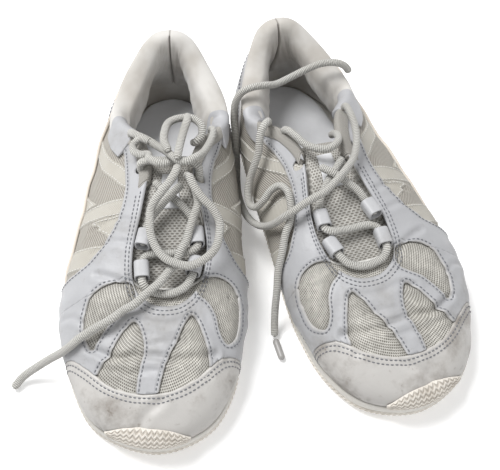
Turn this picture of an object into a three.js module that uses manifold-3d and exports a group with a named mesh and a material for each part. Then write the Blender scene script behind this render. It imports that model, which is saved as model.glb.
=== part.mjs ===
// A pair of women's cheer shoes, low cut, laced over a short tongue.
// Millimetres, +Z up, toes towards -Y.  Both shoes stand on z = 0.
// One shoe is built in its own frame: t runs from the heel to the toe, w is positive on
// the outer (lateral) side, z is up.  The left shoe is the mirror image of the right one.
import * as THREE from 'three';
import { mergeVertices } from 'three/addons/utils/BufferGeometryUtils.js';
import Module from 'manifold-3d';

const wasm = await Module();
wasm.setup();

// ---------------------------------------------------------------- driving dimensions
const shoeLength = 250;        // heel to toe
const ballWidth = 100;         // across the sole at the ball of the foot
const heelHeight = 84;         // ground to the top of the heel
const heelStack = 15;          // ground to the upper's lower edge, under the heel
const foreStack = 10;          // the same under the ball
const toeSpring = 6;           // how far the toe end lifts off the ground
const outsoleThick = 4;
const soleEdge = 1;            // how far the sole stands out past the upper's lower edge
const boardThick = 1.6;
const sockThick = 4;
const insolePlay = 2.6;        // between the linings and the insole's edge
const gap = 0.3;               // left between pieces that touch
const overlayThick = 1.1;
const clothThick = 1.0;
const stiffenerThick = 0.8;
const liningThick = 1.0;
const collarHalfThick = 4.6;   // padded roll, across the wall
const collarHalfHeight = 7.5;  // padded roll, down the wall
const tongueThick = 5;
const labelThick = 0.8;
const laceDiameter = 4.4;
const eyeletRadius = 3.3;
const loopWall = 0.9;          // webbing of a lace loop
const loopWidth = 10;          // along the throat
const bumperThick = 1.8;
const agletDiameter = 4.2;     // the plastic sleeve on a lace's end
const pairGap = 9;             // between the right shoe and the left one's heel
const pairOffset = 19.6;       // how far the left shoe stands further back
const leftTurn = 21.1;         // degrees that the left toe turns outwards

// ---------------------------------------------------------------- the last
// Stations go round the shoe from the heel seam along the outer side to the toe and back
// along the inner side.  Columns, in percent of length, ball width and heel height:
// lower edge t, w | top edge t, w, z | bulge mm, rise, reach, drop of the wall's curve.
const stations = [
  [1.8, 0, 4.4, 0, 98, 4, 0.36, 0.35, 0.3],
  [4.6, 19, 5.8, 12, 95, 7, 0.36, 0.5, 0.3],
  [12, 30.5, 11, 22.5, 83.5, 11, 0.36, 0.8, 0.3],
  [20, 34.5, 17, 30, 73.5, 15, 0.34, 0.9, 0.32],
  [28.8, 37, 22.8, 32.5, 69.8, 17, 0.34, 1, 0.34],
  [36.8, 39, 27, 26.5, 72.5, 18, 0.34, 1.1, 0.36],
  [44.8, 42, 32.4, 14.5, 77.5, 18, 0.34, 1, 0.36],
  [53.6, 45.5, 40.4, 8.5, 79, 18, 0.34, 0.9, 0.32],
  [62.8, 50, 50.4, 10.5, 73.5, 18, 0.36, 0.78, 0.28],
  [73.6, 51.5, 60, 14, 66, 14, 0.4, 0.6, 0.2],
  [85, 44.5, 67.6, 12, 58.5, 8, 0.46, 0.5, 0.14],
  [94.4, 28.5, 71, 3, 56, 5, 0.5, 0.47, 0.12],
  [98.6, -2, 71.6, -6, 55.5, 4, 0.5, 0.45, 0.12],
  [94, -29, 70.4, -15, 55.5, 5, 0.5, 0.47, 0.12],
  [84.6, -42, 66.4, -23, 57, 8, 0.46, 0.5, 0.14],
  [73.6, -46, 59, -26.5, 64, 11, 0.42, 0.6, 0.2],
  [62.8, -45, 50.4, -23.5, 72, 15, 0.36, 0.8, 0.28],
  [53.6, -42, 40.4, -17.5, 78, 16, 0.34, 0.95, 0.32],
  [44.8, -39.5, 32.4, -21.5, 77, 17, 0.34, 1.05, 0.36],
  [36.8, -37.5, 27.2, -31.5, 72.6, 17, 0.34, 1.05, 0.36],
  [28.8, -35.5, 23.2, -35.5, 69.6, 15, 0.34, 1, 0.34],
  [20, -32.5, 17.2, -32.5, 72.8, 12, 0.34, 1, 0.32],
  [12, -28.5, 11, -23, 83, 9, 0.36, 0.8, 0.3],
  [4.6, -18, 5.8, -12, 95, 6, 0.36, 0.5, 0.3],
];
const stationCount = stations.length;
const toeStation = stationCount / 2;

// Uniform Catmull-Rom through one column of the closed list of stations.
function column(index, a) {
  const base = Math.floor(a);
  const f = a - base;
  const at = (k) => stations[(((base + k) % stationCount) + stationCount) % stationCount][index];
  const [p0, p1, p2, p3] = [at(-1), at(0), at(1), at(2)];
  const slope1 = (p2 - p0) / 2;
  const slope2 = (p3 - p1) / 2;
  const cubic = 2 * p1 - 2 * p2 + slope1 + slope2;
  const square = -3 * p1 + 3 * p2 - 2 * slope1 - slope2;
  return ((cubic * f + square) * f + slope1) * f + p1;
}

function clamp01(x) {
  return Math.min(1, Math.max(0, x));
}

function springAt(t) {
  const s = clamp01((t / shoeLength - 0.78) / 0.22);
  return toeSpring * s * s;
}

function soleTopAt(t) {
  const s = clamp01((t / shoeLength - 0.25) / 0.37);
  const ease = s * s * (3 - 2 * s);
  return heelStack + (foreStack - heelStack) * ease + springAt(t);
}

function lowerEdge(a) {
  const t = column(0, a) * shoeLength / 100;
  const w = column(1, a) * ballWidth / 100;
  return new THREE.Vector3(w, t, soleTopAt(t) + 2 * gap);
}

function topEdge(a) {
  return new THREE.Vector3(
    column(3, a) * ballWidth / 100,
    column(2, a) * shoeLength / 100,
    column(4, a) * heelHeight / 100,
  );
}

// The upper's outer surface: a cubic curve up the wall at every station.
// Vectors here are (w, t, z).
function surfacePoint(a, v) {
  const low = lowerEdge(a);
  const top = topEdge(a);
  const step = 0.02;
  const along = lowerEdge(a + step).sub(lowerEdge(a - step)).setZ(0).normalize();
  const height = top.z - low.z;
  const out = new THREE.Vector3(along.y, -along.x, 0);
  const p1 = low.clone().addScaledVector(out, column(5, a));
  p1.z += column(6, a) * height;
  const reach = column(7, a);
  const p2 = new THREE.Vector3(
    top.x + reach * (low.x - top.x),
    top.y + reach * (low.y - top.y),
    top.z - column(8, a) * height,
  );
  const u = 1 - v;
  return low.multiplyScalar(u * u * u)
    .addScaledVector(p1, 3 * u * u * v)
    .addScaledVector(p2, 3 * u * v * v)
    .addScaledVector(top, v * v * v);
}

function surfaceNormal(a, v) {
  const e = 0.01;
  const v0 = Math.max(0, v - e);
  const v1 = Math.min(1, v + e);
  const round = surfacePoint(a + e, v).sub(surfacePoint(a - e, v));
  const up = surfacePoint(a, v1).sub(surfacePoint(a, v0));
  return round.cross(up).normalize();
}

function offsetPoint(a, v, depth) {
  return surfacePoint(a, v).addScaledVector(surfaceNormal(a, v), -depth);
}

// ---------------------------------------------------------------- solids
// Shoe coordinates (w, t, z) to the right shoe's own frame (x, y, z).
function place(p) {
  return [-p.x, shoeLength / 2 - p.y, p.z];
}

function signedVolume(position, index) {
  const a = new THREE.Vector3();
  const b = new THREE.Vector3();
  const c = new THREE.Vector3();
  let sum = 0;
  for (let i = 0; i < index.count; i += 3) {
    a.fromBufferAttribute(position, index.getX(i));
    b.fromBufferAttribute(position, index.getX(i + 1));
    c.fromBufferAttribute(position, index.getX(i + 2));
    sum += a.dot(b.cross(c)) / 6;
  }
  return sum;
}

function weld(geometry) {
  geometry.deleteAttribute('normal');
  geometry.deleteAttribute('uv');
  const welded = mergeVertices(geometry, 1e-4);
  if (signedVolume(welded.attributes.position, welded.index) < 0) {
    const order = welded.index.array;
    for (let i = 0; i < order.length; i += 3) {
      [order[i], order[i + 1]] = [order[i + 1], order[i]];
    }
  }
  return welded;
}

// A box splits the squares of its front and back along opposite diagonals.  This turns
// the back's, so that one layer's back lies parallel to the next layer's front.
function turnBackDiagonals(geometry) {
  const back = geometry.groups[5];
  const order = geometry.index.array;
  for (let i = back.start; i < back.start + back.count; i += 6) {
    const [a, b, d, , c] = order.slice(i, i + 6);
    order.set([a, b, c, a, c, d], i);
  }
}

// A box of nx by ny by nz cells bent by a function of its unit coordinates (0 to 1).
function bent(nx, ny, nz, shape) {
  const geometry = new THREE.BoxGeometry(1, 1, 1, nx, ny, nz);
  turnBackDiagonals(geometry);
  const position = geometry.attributes.position;
  for (let i = 0; i < position.count; i += 1) {
    const x = position.getX(i) + 0.5;
    const y = position.getY(i) + 0.5;
    const z = position.getZ(i) + 0.5;
    position.setXYZ(i, ...place(shape(x, y, z)));
  }
  return weld(geometry);
}

function toSolid(geometry) {
  const welded = weld(geometry);
  return new wasm.Manifold(new wasm.Mesh({
    numProp: 3,
    vertProperties: new Float32Array(welded.attributes.position.array),
    triVerts: new Uint32Array(welded.index.array),
  }));
}

function toGeometry(solid) {
  const mesh = solid.getMesh();
  const geometry = new THREE.BufferGeometry();
  geometry.setAttribute('position', new THREE.BufferAttribute(mesh.vertProperties, 3));
  geometry.setIndex(new THREE.BufferAttribute(mesh.triVerts, 1));
  return geometry;
}

// A prism over an outline in plan, points (t, w) in percent.
function planPrism(points) {
  const shape = new THREE.Shape(points.map(([t, w]) => new THREE.Vector2(
    -w * ballWidth / 100,
    shoeLength / 2 - t * shoeLength / 100,
  )));
  const geometry = new THREE.ExtrudeGeometry(shape, {
    depth: heelHeight * 1.4, bevelEnabled: false,
  });
  geometry.translate(0, 0, -heelHeight * 0.1);
  return toSolid(geometry);
}

// A prism over an outline seen from the side, points (t, z) in percent.
function sidePrism(points) {
  const shape = new THREE.Shape(points.map(([t, z]) => new THREE.Vector2(
    shoeLength / 2 - t * shoeLength / 100,
    z * heelHeight / 100,
  )));
  const geometry = new THREE.ExtrudeGeometry(shape, {
    depth: 2 * ballWidth, bevelEnabled: false,
  });
  geometry.translate(0, 0, -ballWidth);
  geometry.applyMatrix4(new THREE.Matrix4().set(
    0, 0, 1, 0,
    1, 0, 0, 0,
    0, 1, 0, 0,
    0, 0, 0, 1,
  ));
  return toSolid(geometry);
}

// ---------------------------------------------------------------- layers of the upper
const roundCells = 40;
const wallCells = 5;
const seamHalf = 0.012;        // the open heel seam, in stations

// Every layer shares one grid, so that neighbouring layers' facets stay parallel.  A layer
// is open along one line, at the heel seam or, if it wraps the heel, at the toe.
function layer(outer, inner, high, openAt = 0) {
  return toSolid(bent(roundCells, wallCells, 1, (x, y, z) => {
    const i = Math.round(x * roundCells);
    const j = Math.round(y * wallCells);
    const whole = i * stationCount / roundCells;
    const turn = Math.min(stationCount - seamHalf, Math.max(seamHalf, whole));
    const v = Math.min(high(openAt + turn), j / wallCells);
    return offsetPoint(openAt + turn, v, inner + (outer - inner) * z);
  }));
}

const clothDepth = overlayThick + gap;
const stiffenerDepth = clothDepth + clothThick + gap;
const liningDepth = stiffenerDepth + stiffenerThick + gap;
const liningBack = liningDepth + liningThick;
const insoleInset = liningBack + insolePlay;

// The padded collar fills the top of the wall between these two stations, and the
// quarter lining stops below it.
const collarStart = 5.4;       // on the outer side
const collarEnd = 4.6;         // on the inner side, counted back from the heel
const collarMargin = 1;        // from the top edge down to the roll

function wallHeight(a) {
  return surfacePoint(a, 1).distanceTo(surfacePoint(a, 0));
}

function liningTop(a) {
  const turn = ((a + stationCount / 2) % stationCount) - stationCount / 2;
  const beside = turn < collarStart + 0.7 && turn > -collarEnd - 0.7;
  const roll = collarMargin + 2 * collarHalfHeight + 2 * gap;
  return beside ? 1 - roll / wallHeight(a) : 0.97;
}

const full = () => 1;
const nearlyFull = () => 0.985;
const stiffenerTop = () => 0.9;
const stiffenerBack = stiffenerDepth + stiffenerThick;
const overlayLayer = layer(0, overlayThick, full);
const heelOverlayLayer = layer(0, overlayThick, full, toeStation);
const clothLayer = layer(clothDepth, clothDepth + clothThick, nearlyFull);
const puffLayer = layer(stiffenerDepth, stiffenerBack, stiffenerTop);
const counterLayer = layer(stiffenerDepth, stiffenerBack, stiffenerTop, toeStation);
const liningLayer = layer(liningDepth, liningBack, liningTop);
const heelLiningLayer = layer(liningDepth, liningBack, liningTop, toeStation);

// ---------------------------------------------------------------- the padded collar
function collarGeometry() {
  const span = collarStart + collarEnd;
  const depth = stiffenerDepth + gap + collarHalfThick;
  return bent(24, 2, 2, (x, y, z) => {
    const a = collarStart - x * span;
    const sx = 2 * y - 1;
    const sz = 2 * z - 1;
    const across = sx * Math.sqrt(1 - sz * sz / 2);
    const down = sz * Math.sqrt(1 - sx * sx / 2);
    const v = 1 - (collarHalfHeight + collarMargin) / wallHeight(a);
    const here = surfacePoint(a, v);
    const normal = surfaceNormal(a, v);
    const up = surfacePoint(a, v + 0.02).sub(here).normalize();
    return here
      .addScaledVector(normal, -depth + across * collarHalfThick)
      .addScaledVector(up, down * collarHalfHeight);
  });
}

// ---------------------------------------------------------------- outlines of the pieces
// Points are (t, w) in percent of shoe length and ball width.
const far = 90;
const toeSeam = [
  [80.2, far], [80.8, 48], [83.6, 37], [87.4, 25], [89.6, 12], [90, -3],
  [88.2, -16], [85, -27], [81.4, -36], [79.8, -46], [79.4, -far],
];
const outerBorder = [
  [18, 25], [24, 28.5], [31, 25.5], [38, 22.5], [45, 21], [51, 23.5], [56, 29], [60.5, 39],
  [63, 52], [64, far],
];
const innerBorder = [
  [18, -29], [25, -34], [31, -32.5], [38, -28.5], [45, -28.5], [51, -32], [56, -38],
  [60, -47], [61, -far],
];
const wingSeamOuter = [[71, far], [70, 50], [66.5, 24], [62, 0]];
const wingSeamInner = [[68, -far], [67, -46], [64.5, -27], [60, -6]];

function shifted(points, along) {
  return points.map(([t, w]) => [t + along, w]);
}

const seam = 100 * gap / shoeLength;
const toeRegion = planPrism([...shifted(toeSeam, seam), [120, -far], [120, far]]);
const behindToe = planPrism([...toeSeam, [-20, -far], [-20, far]]);
const vampRegion = planPrism([
  ...shifted(wingSeamOuter, seam), ...shifted(wingSeamInner, seam).reverse(),
  [120, -far], [120, far],
]);
const eyestayOuterRegion = planPrism([...outerBorder, ...wingSeamOuter, [18, 0]]);
const eyestayInnerRegion = planPrism([...innerBorder, ...wingSeamInner, [18, -5]]);
const eyestayRise = sidePrism([
  [10, 64], [36, 44], [50, 24], [60, -10], [90, -10], [90, 130], [10, 130],
]);
const heelRegion = sidePrism([[-20, -10], [26, -10], [22, 42], [14, 62], [6, 72], [-20, 78]]);
const counterRegion = sidePrism([[-20, -10], [27, -10], [22, 44], [8, 60], [-20, 66]]);
const puffRegion = planPrism([[84, far], [86, 0], [84, -far], [120, -far], [120, far]]);

const clothSeam = 66;          // percent of length, between the quarters and the vamp
const quarterFront = clothSeam - seam;
const vampClothRegion = planPrism([
  [clothSeam, far], [clothSeam, -far], [120, -far], [120, far],
]);
const outerHalf = planPrism([
  [-20, 0], [-20, far], [quarterFront, far], [quarterFront, -5], [50, 0],
]);
const innerHalf = planPrism([
  [-20, 0], [-20, -far], [quarterFront, -far], [quarterFront, -6], [50, 0],
]);
const liningSeam = 34;         // percent of length, between the two linings
const quarterLiningRegion = planPrism([
  [-20, far], [liningSeam, far], [liningSeam, -far], [-20, -far],
]);
const vampLiningRegion = planPrism([
  [liningSeam + seam, far], [120, far], [120, -far], [liningSeam + seam, -far],
]);

// ---------------------------------------------------------------- eyelets
// Punched straight down, (t, w) in percent.
const outerEyelets = [[30.4, 20], [40.4, 12.5]];
const innerEyelets = [[28.6, -26.5], [32.6, -20.5], [42, -21]];

function punch(eyelets, radius) {
  const tools = eyelets.map(([t, w]) => {
    const tool = new THREE.CylinderGeometry(radius, radius, heelHeight, 10);
    tool.rotateX(Math.PI / 2);
    tool.translate(
      -w * ballWidth / 100,
      shoeLength / 2 - t * shoeLength / 100,
      heelHeight * 0.9,
    );
    return toSolid(tool);
  });
  return tools.reduce((sum, tool) => sum.add(tool));
}

const holes = punch([...outerEyelets, ...innerEyelets], eyeletRadius);

// ---------------------------------------------------------------- sole
// Half width of the upper's lower edge at a given t, on the outer or the inner side.
function edgeWidthAt(t, side) {
  const inner = side < 0;
  let low = inner ? toeStation : 0;
  let high = inner ? stationCount : toeStation;
  for (let i = 0; i < 40; i += 1) {
    const middle = (low + high) / 2;
    const before = lowerEdge(middle).y < t;
    if (before !== inner) {
      low = middle;
    } else {
      high = middle;
    }
  }
  return lowerEdge((low + high) / 2).x;
}

const soleCells = 22;
const endBlunt = 0.9;          // how far the sole's ends are cut square, before the edge

// A layer of the sole, its outline `grow` outside the upper's lower edge.
function soleLayer(grow, bottomAt, topAt) {
  const heelT = lowerEdge(0).y + endBlunt;
  const toeT = lowerEdge(toeStation).y - endBlunt;
  return bent(1, soleCells, 1, (x, y, z) => {
    const share = (1 - Math.cos(Math.PI * y)) / 2;
    const inside = heelT + (toeT - heelT) * share;
    const half = x < 0.5 ? -1 : 1;
    const edge = edgeWidthAt(inside, half);
    const t = inside + grow * (2 * share - 1) * Math.abs(2 * share - 1) ** 3;
    const w = edge + half * grow;
    return new THREE.Vector3(w, t, z < 0.5 ? bottomAt(t) : topAt(t));
  });
}

const outsoleTopAt = (t) => springAt(t) + outsoleThick;
const boardBottomAt = (t) => soleTopAt(t) + gap;
const sockBottomAt = (t) => boardBottomAt(t) + boardThick + gap;

// ---------------------------------------------------------------- toe bumper
const bumperHalf = 0.62;       // stations either side of the toe
const bumperTop = 0.2;         // up the wall, as a share

function bumperGeometry() {
  const middle = toeStation - 0.1;
  return bent(10, 4, 1, (x, y, z) => {
    const side = 2 * x - 1;
    const a = middle + side * bumperHalf;
    const v = 0.02 + (bumperTop * (1 - 0.55 * side ** 4) - 0.02) * y;
    return offsetPoint(a, v, -gap - bumperThick * z);
  });
}

// ---------------------------------------------------------------- tongue
const tongueDrop = 6.5;        // from the throat's edge down to the tongue's face
const tongueCrown = 1.5;
const tongueWing = 0.13;       // how far the tongue reaches under the throat, up the wall

// x runs across from the inner to the outer side, s from the base to the free end.
function tongueFace(x, s, depth) {
  const outerA = 10.9 - 4.1 * s;
  const innerA = 13.1 + 4.2 * s;
  const wing = tongueWing * (0.6 + 0.4 * s);
  const back = tongueDrop + depth;
  const ends = [
    offsetPoint(innerA, 1 - wing, back),
    offsetPoint(innerA, 1, back),
    offsetPoint(outerA, 1, back),
    offsetPoint(outerA, 1 - wing, back),
  ];
  const marks = [0, 0.18, 0.82, 1];
  let k = 0;
  while (k < 2 && x > marks[k + 1]) {
    k += 1;
  }
  const f = (x - marks[k]) / (marks[k + 1] - marks[k]);
  const p = ends[k].clone().lerp(ends[k + 1], f);
  p.z += tongueCrown * Math.sin(Math.PI * x) * Math.min(1, 2 * s);
  return p;
}

function tongueSlab(nx, ns, x0, x1, s0, s1, top, thick) {
  return bent(nx, ns, 1, (x, y, z) => tongueFace(
    x0 + (x1 - x0) * x,
    s0 + (s1 - s0) * y,
    -top + thick * z,
  ));
}

function tongueGeometry() {
  const marks = [0, 0.18, 0.34, 0.5, 0.66, 0.82, 1];
  return bent(6, 7, 1, (x, y, z) => tongueFace(marks[Math.round(x * 6)], y, tongueThick * z));
}

// ---------------------------------------------------------------- lace loops
// A webbing ring sewn to the throat's edge; the lace runs through it along the shoe.
const loopStart = 1.2;         // from the throat's edge to the ring
const loopReach = 8.4;
const loopPlay = 0.8;          // around the lace, inside the ring
const loopBelow = 2.8;         // how far the ring hangs below the throat's edge

// At the throat's edge: `ahead` runs along it and `across` into the throat.
function throatFrame(a) {
  const ahead = topEdge(a + 0.05).sub(topEdge(a - 0.05)).setZ(0).normalize();
  return { edge: topEdge(a), across: new THREE.Vector3(-ahead.y, ahead.x, 0), ahead };
}

function loopGeometry(a) {
  const { edge, across, ahead } = throatFrame(a);
  const high = laceDiameter + 2 * (loopPlay + loopWall);
  const outline = new THREE.Shape([
    new THREE.Vector2(0, 0),
    new THREE.Vector2(loopReach - 2, 0),
    new THREE.Vector2(loopReach, 2),
    new THREE.Vector2(loopReach, high - 2),
    new THREE.Vector2(loopReach - 2, high),
    new THREE.Vector2(0, high),
  ]);
  const w = loopWall;
  outline.holes.push(new THREE.Path([
    new THREE.Vector2(w, w),
    new THREE.Vector2(w, high - w),
    new THREE.Vector2(loopReach - 2.2, high - w),
    new THREE.Vector2(loopReach - w, high - 2.2),
    new THREE.Vector2(loopReach - w, 2.2),
    new THREE.Vector2(loopReach - 2.2, w),
  ]));
  const geometry = new THREE.ExtrudeGeometry(outline, {
    depth: loopWidth, bevelEnabled: false,
  });
  const position = geometry.attributes.position;
  for (let i = 0; i < position.count; i += 1) {
    const p = edge.clone()
      .addScaledVector(across, loopStart + position.getX(i))
      .addScaledVector(ahead, position.getZ(i) - loopWidth / 2);
    p.z += position.getY(i) - loopBelow;
    position.setXYZ(i, ...place(p));
  }
  return weld(geometry);
}

// ---------------------------------------------------------------- laces
// Points (w, t, z) in millimetres along the middle of each lace, in its own shoe's frame.
const sharedLaces = {
  lace_lower: [
    [-21, 152.2, 51.4], [-20.1, 156.4, 51.4], [-18.9, 162.8, 51.4], [-15.5, 168.5, 49.8],
    [-9, 171.9, 48.7], [-1.9, 172.3, 48.5], [4.2, 171.2, 50.4], [7.4, 168, 52.6],
    [8.3, 160.8, 52.6], [8.8, 156.4, 52.7], [6.6, 152.2, 53.4], [1.5, 150.5, 53.7],
    [-5, 150.1, 53.6], [-12.1, 149.9, 54.5], [-17.9, 149.5, 56.4], [-21.2, 146.9, 57],
    [-20.7, 141, 57], [-19.9, 134.6, 57.3], [-16.5, 128.5, 59.9], [-10, 122, 62.3],
    [-1, 114.5, 63.8], [4.5, 110, 65],
  ],
  lace_upper: [
    [8.6, 148.2, 58.3], [8, 144, 58.3], [7, 137.6, 58.5], [4.6, 131.9, 61.3],
    [-0.1, 126.3, 64.4], [-6.1, 119.9, 67.4], [-12, 113.5, 68.2],
  ],
};
const rightLaces = {
  lace_bar: [
    [12.5, 101, 61], [12.5, 101, 66], [11.8, 101, 70], [8, 100.8, 71.9], [2, 100.4, 71.9],
    [-4, 100.2, 71.8], [-11, 99.9, 72], [-17, 100.8, 71.9], [-20.5, 103.2, 70], [-21, 105, 66],
    [-21, 105, 61],
  ],
  lace_tie: [
    [20, 76, 59], [20, 76, 64], [19, 78.6, 68.5], [15, 82.5, 71], [9, 86.5, 72.1],
    [3, 91.4, 73.2], [-2, 96.3, 75.5], [-6, 101.2, 77.4], [-10.1, 104.6, 78],
    [-14.1, 105.1, 78.3], [-18.6, 102.3, 77.9], [-22.5, 96.9, 75], [-25.5, 89, 72],
    [-27.5, 81, 70], [-27.8, 75.5, 68.5], [-26.5, 71.5, 64], [-26.5, 71.5, 59],
  ],
  lace_bow: [
    [-9.8, 109.1, 80.3], [-8.4, 114.3, 80.1], [-5.5, 119.6, 78.5], [-1, 124.5, 75.5],
    [4, 131, 70], [4.5, 139, 68], [3.5, 146, 65], [0.5, 152, 62.5], [-4, 157, 61.1],
    [-11, 160.1, 60.1], [-18, 161, 60], [-25, 158, 61], [-31, 152, 62.5], [-33, 146, 64.5],
    [-33, 137, 67], [-29, 131, 71], [-24, 127, 74], [-19, 121.5, 77.5], [-15.5, 115, 80.5],
  ],
  lace_end: [
    [-13, 108.5, 72], [-17, 113.5, 71.5], [-20, 121, 70.5], [-21, 127, 68.5], [-19, 133, 66],
    [-17, 140, 63.7], [-15.4, 146.1, 61.4], [-12.8, 151.2, 59.6], [-9.9, 157.2, 55.9],
    [-6.1, 162.7, 55], [-2.2, 168.9, 55.1], [4.8, 175.5, 54], [10.9, 181.2, 52.4],
    [17, 184.1, 50.1], [22, 188, 49], [31, 192, 45], [40, 196, 40], [45, 198, 35],
    [51, 199, 28], [58, 199, 20], [65, 200, 13], [75, 204, 5.5], [80, 210, 3],
  ],
};
const leftLaces = {
  lace_cross: [
    [-20.5, 81.5, 61], [-20.5, 81.5, 66], [-19.5, 85, 69.5], [-17.5, 91, 71],
    [-14.5, 98.5, 71.2], [-10, 103, 71.2], [-4.5, 105.5, 71.2], [0.9, 104.5, 71.2],
    [5, 101, 70.3], [6.7, 95.9, 67.6], [7.4, 90.9, 62.5], [7.6, 87, 56.5],
  ],
  lace_end_inner: [
    [-26.5, 71.5, 59], [-26.5, 71.5, 64], [-28, 74, 68.5], [-31.5, 77, 70], [-35, 80.5, 67.5],
    [-38.5, 87, 59], [-42, 90, 52], [-45.5, 93, 44], [-48.5, 98, 38], [-49.8, 105, 36.5],
    [-48, 110.5, 40.5], [-44, 111.5, 47], [-38.8, 110, 53], [-34.4, 111.5, 56.9],
    [-32.4, 117, 58.5], [-33.2, 125, 56.4], [-36.6, 133.1, 52.9], [-41.1, 138.2, 48.7],
    [-45.4, 145.1, 42.9], [-50.2, 152, 35], [-53.2, 159, 26], [-56.1, 165, 15], [-58, 170, 7.5],
    [-60, 176, 3],
  ],
  lace_end_outer: [
    [20, 76, 59], [20, 76, 64], [19.6, 79, 69], [18.5, 87, 72], [17, 97, 72], [14, 106, 71.1],
    [8.1, 115.6, 70.4], [0.2, 122.3, 71], [-7.9, 127.3, 70.4], [-16, 131.1, 68.9],
    [-22, 132, 67.7], [-28.1, 132.5, 65.7], [-33.9, 133, 62.4], [-39.3, 131.9, 57.1],
    [-44.3, 129.3, 48.5], [-47.8, 123.9, 39.2], [-49.6, 115, 29.5], [-50, 103, 20],
    [-49, 90, 13.5], [-47, 78, 10.5], [-44.5, 69.1, 11], [-42.4, 62.9, 17.1],
    [-41.7, 59.8, 26.3], [-40.7, 54.9, 38.4], [-39.9, 49.9, 50.2], [-38.3, 47.6, 60],
    [-34.5, 47.5, 67.5], [-28.5, 48.5, 71], [-21, 49, 70.5], [-13, 48, 67.5], [-3, 46, 67.5],
    [7, 45, 69.5], [17, 45, 71.5], [26, 46.5, 71], [32.5, 47, 66.5], [37, 46.5, 59],
  ],
};
const agletPoints = [[-60.2, 177.2, 2.9], [-60.6, 184, 2.7], [-61, 191, 2.7]];

const cordSides = 8;
const cordStep = 1.6;          // diameters between two cross-sections

function cordGeometry(points, diameter) {
  const path = new THREE.CatmullRomCurve3(
    points.map((p) => new THREE.Vector3(...place(new THREE.Vector3(...p)))),
    false,
    'centripetal',
  );
  const section = new THREE.Shape(Array.from({ length: cordSides }, (_, i) => {
    const angle = 2 * Math.PI * i / cordSides;
    return new THREE.Vector2(Math.cos(angle), Math.sin(angle)).multiplyScalar(diameter / 2);
  }));
  const steps = Math.max(4, Math.round(path.getLength() / (cordStep * diameter)));
  return weld(new THREE.ExtrudeGeometry(section, {
    steps, extrudePath: path, bevelEnabled: false,
  }));
}

// ---------------------------------------------------------------- materials
function finish(colour, roughness, metalness = 0) {
  return new THREE.MeshStandardMaterial({ color: colour, roughness, metalness });
}

// ---------------------------------------------------------------- one shoe's pieces
const pieces = {
  outsole: [
    soleLayer(soleEdge, springAt, outsoleTopAt),
    finish(0xe9e4d4, 0.75),
  ],
  midsole: [
    soleLayer(soleEdge, (t) => outsoleTopAt(t) + gap, soleTopAt),
    finish(0xf0eee6, 0.7),
  ],
  toe_bumper: [bumperGeometry(), finish(0xe9e4d4, 0.75)],
  insole_board: [
    soleLayer(-insoleInset, boardBottomAt, (t) => boardBottomAt(t) + boardThick),
    finish(0xd9d2c0, 0.9),
  ],
  sockliner: [
    soleLayer(-insoleInset, sockBottomAt, (t) => sockBottomAt(t) + sockThick),
    finish(0xf2f2f0, 0.8),
  ],
  toe_cap: [
    toGeometry(overlayLayer.intersect(toeRegion)),
    finish(0xe8e8e6, 0.55),
  ],
  vamp_overlay: [
    toGeometry(overlayLayer.intersect(vampRegion).intersect(behindToe)),
    finish(0xeeeff3, 0.45),
  ],
  eyestay_outer: [
    toGeometry(overlayLayer.intersect(eyestayOuterRegion).intersect(eyestayRise).subtract(holes)),
    finish(0xeeeff3, 0.45),
  ],
  eyestay_inner: [
    toGeometry(overlayLayer.intersect(eyestayInnerRegion).intersect(eyestayRise).subtract(holes)),
    finish(0xeeeff3, 0.45),
  ],
  heel_panel: [
    toGeometry(heelOverlayLayer.intersect(heelRegion)),
    finish(0xeeeff3, 0.45),
  ],
  vamp_cloth: [
    toGeometry(clothLayer.intersect(vampClothRegion)),
    finish(0xd9d5c9, 0.85),
  ],
  quarter_outer: [
    toGeometry(clothLayer.intersect(outerHalf).subtract(holes)),
    finish(0xe3ded1, 0.85),
  ],
  quarter_inner: [
    toGeometry(clothLayer.intersect(innerHalf).subtract(holes)),
    finish(0xe3ded1, 0.85),
  ],
  toe_puff: [
    toGeometry(puffLayer.intersect(puffRegion)),
    finish(0xcfc6b0, 0.7),
  ],
  heel_counter: [
    toGeometry(counterLayer.intersect(counterRegion)),
    finish(0xcfc6b0, 0.7),
  ],
  vamp_lining: [
    toGeometry(liningLayer.intersect(vampLiningRegion).subtract(holes)),
    finish(0xe6e3dc, 0.95),
  ],
  quarter_lining: [
    toGeometry(heelLiningLayer.intersect(quarterLiningRegion).subtract(holes)),
    finish(0xe2ddd3, 0.95),
  ],
  collar_padding: [collarGeometry(), finish(0xe2ddd3, 0.95)],
  tongue: [tongueGeometry(), finish(0xe4e1d8, 0.9)],
  tongue_label: [
    tongueSlab(2, 2, 0.36, 0.64, 0.72, 0.92, gap + labelThick, labelThick),
    finish(0xf1f1f1, 0.6),
  ],
};

Object.entries({
  outer_loop_front: 9.55,
  outer_loop_rear: 8.7,
  inner_loop_front: 14.5,
  inner_loop_rear: 15.35,
}).forEach(([name, station]) => {
  pieces[name] = [loopGeometry(station), finish(0xf3f3f3, 0.7)];
});

function laces(points) {
  return Object.fromEntries(Object.entries(points).map(([name, list]) => [
    name, [cordGeometry(list, laceDiameter), finish(0xe9e7de, 0.9)],
  ]));
}

function addPieces(group, prefix, set) {
  Object.entries(set).forEach(([name, [geometry, material]]) => {
    const mesh = new THREE.Mesh(geometry, material);
    mesh.name = `${prefix}_${name}`;
    group.add(mesh);
  });
}

const right = new THREE.Group();
const left = new THREE.Group();
addPieces(right, 'right', pieces);
addPieces(left, 'left', pieces);
left.scale.x = -1;
const turn = THREE.MathUtils.degToRad(leftTurn);
const heelSwing = Math.sin(turn) * shoeLength / 2;
const pairSpacing = ballWidth / 2 + heelSwing + pairGap;
const leftPlace = new THREE.Group();
leftPlace.add(left);
leftPlace.position.set(pairSpacing, pairOffset, 0);
leftPlace.rotation.z = turn;

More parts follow.
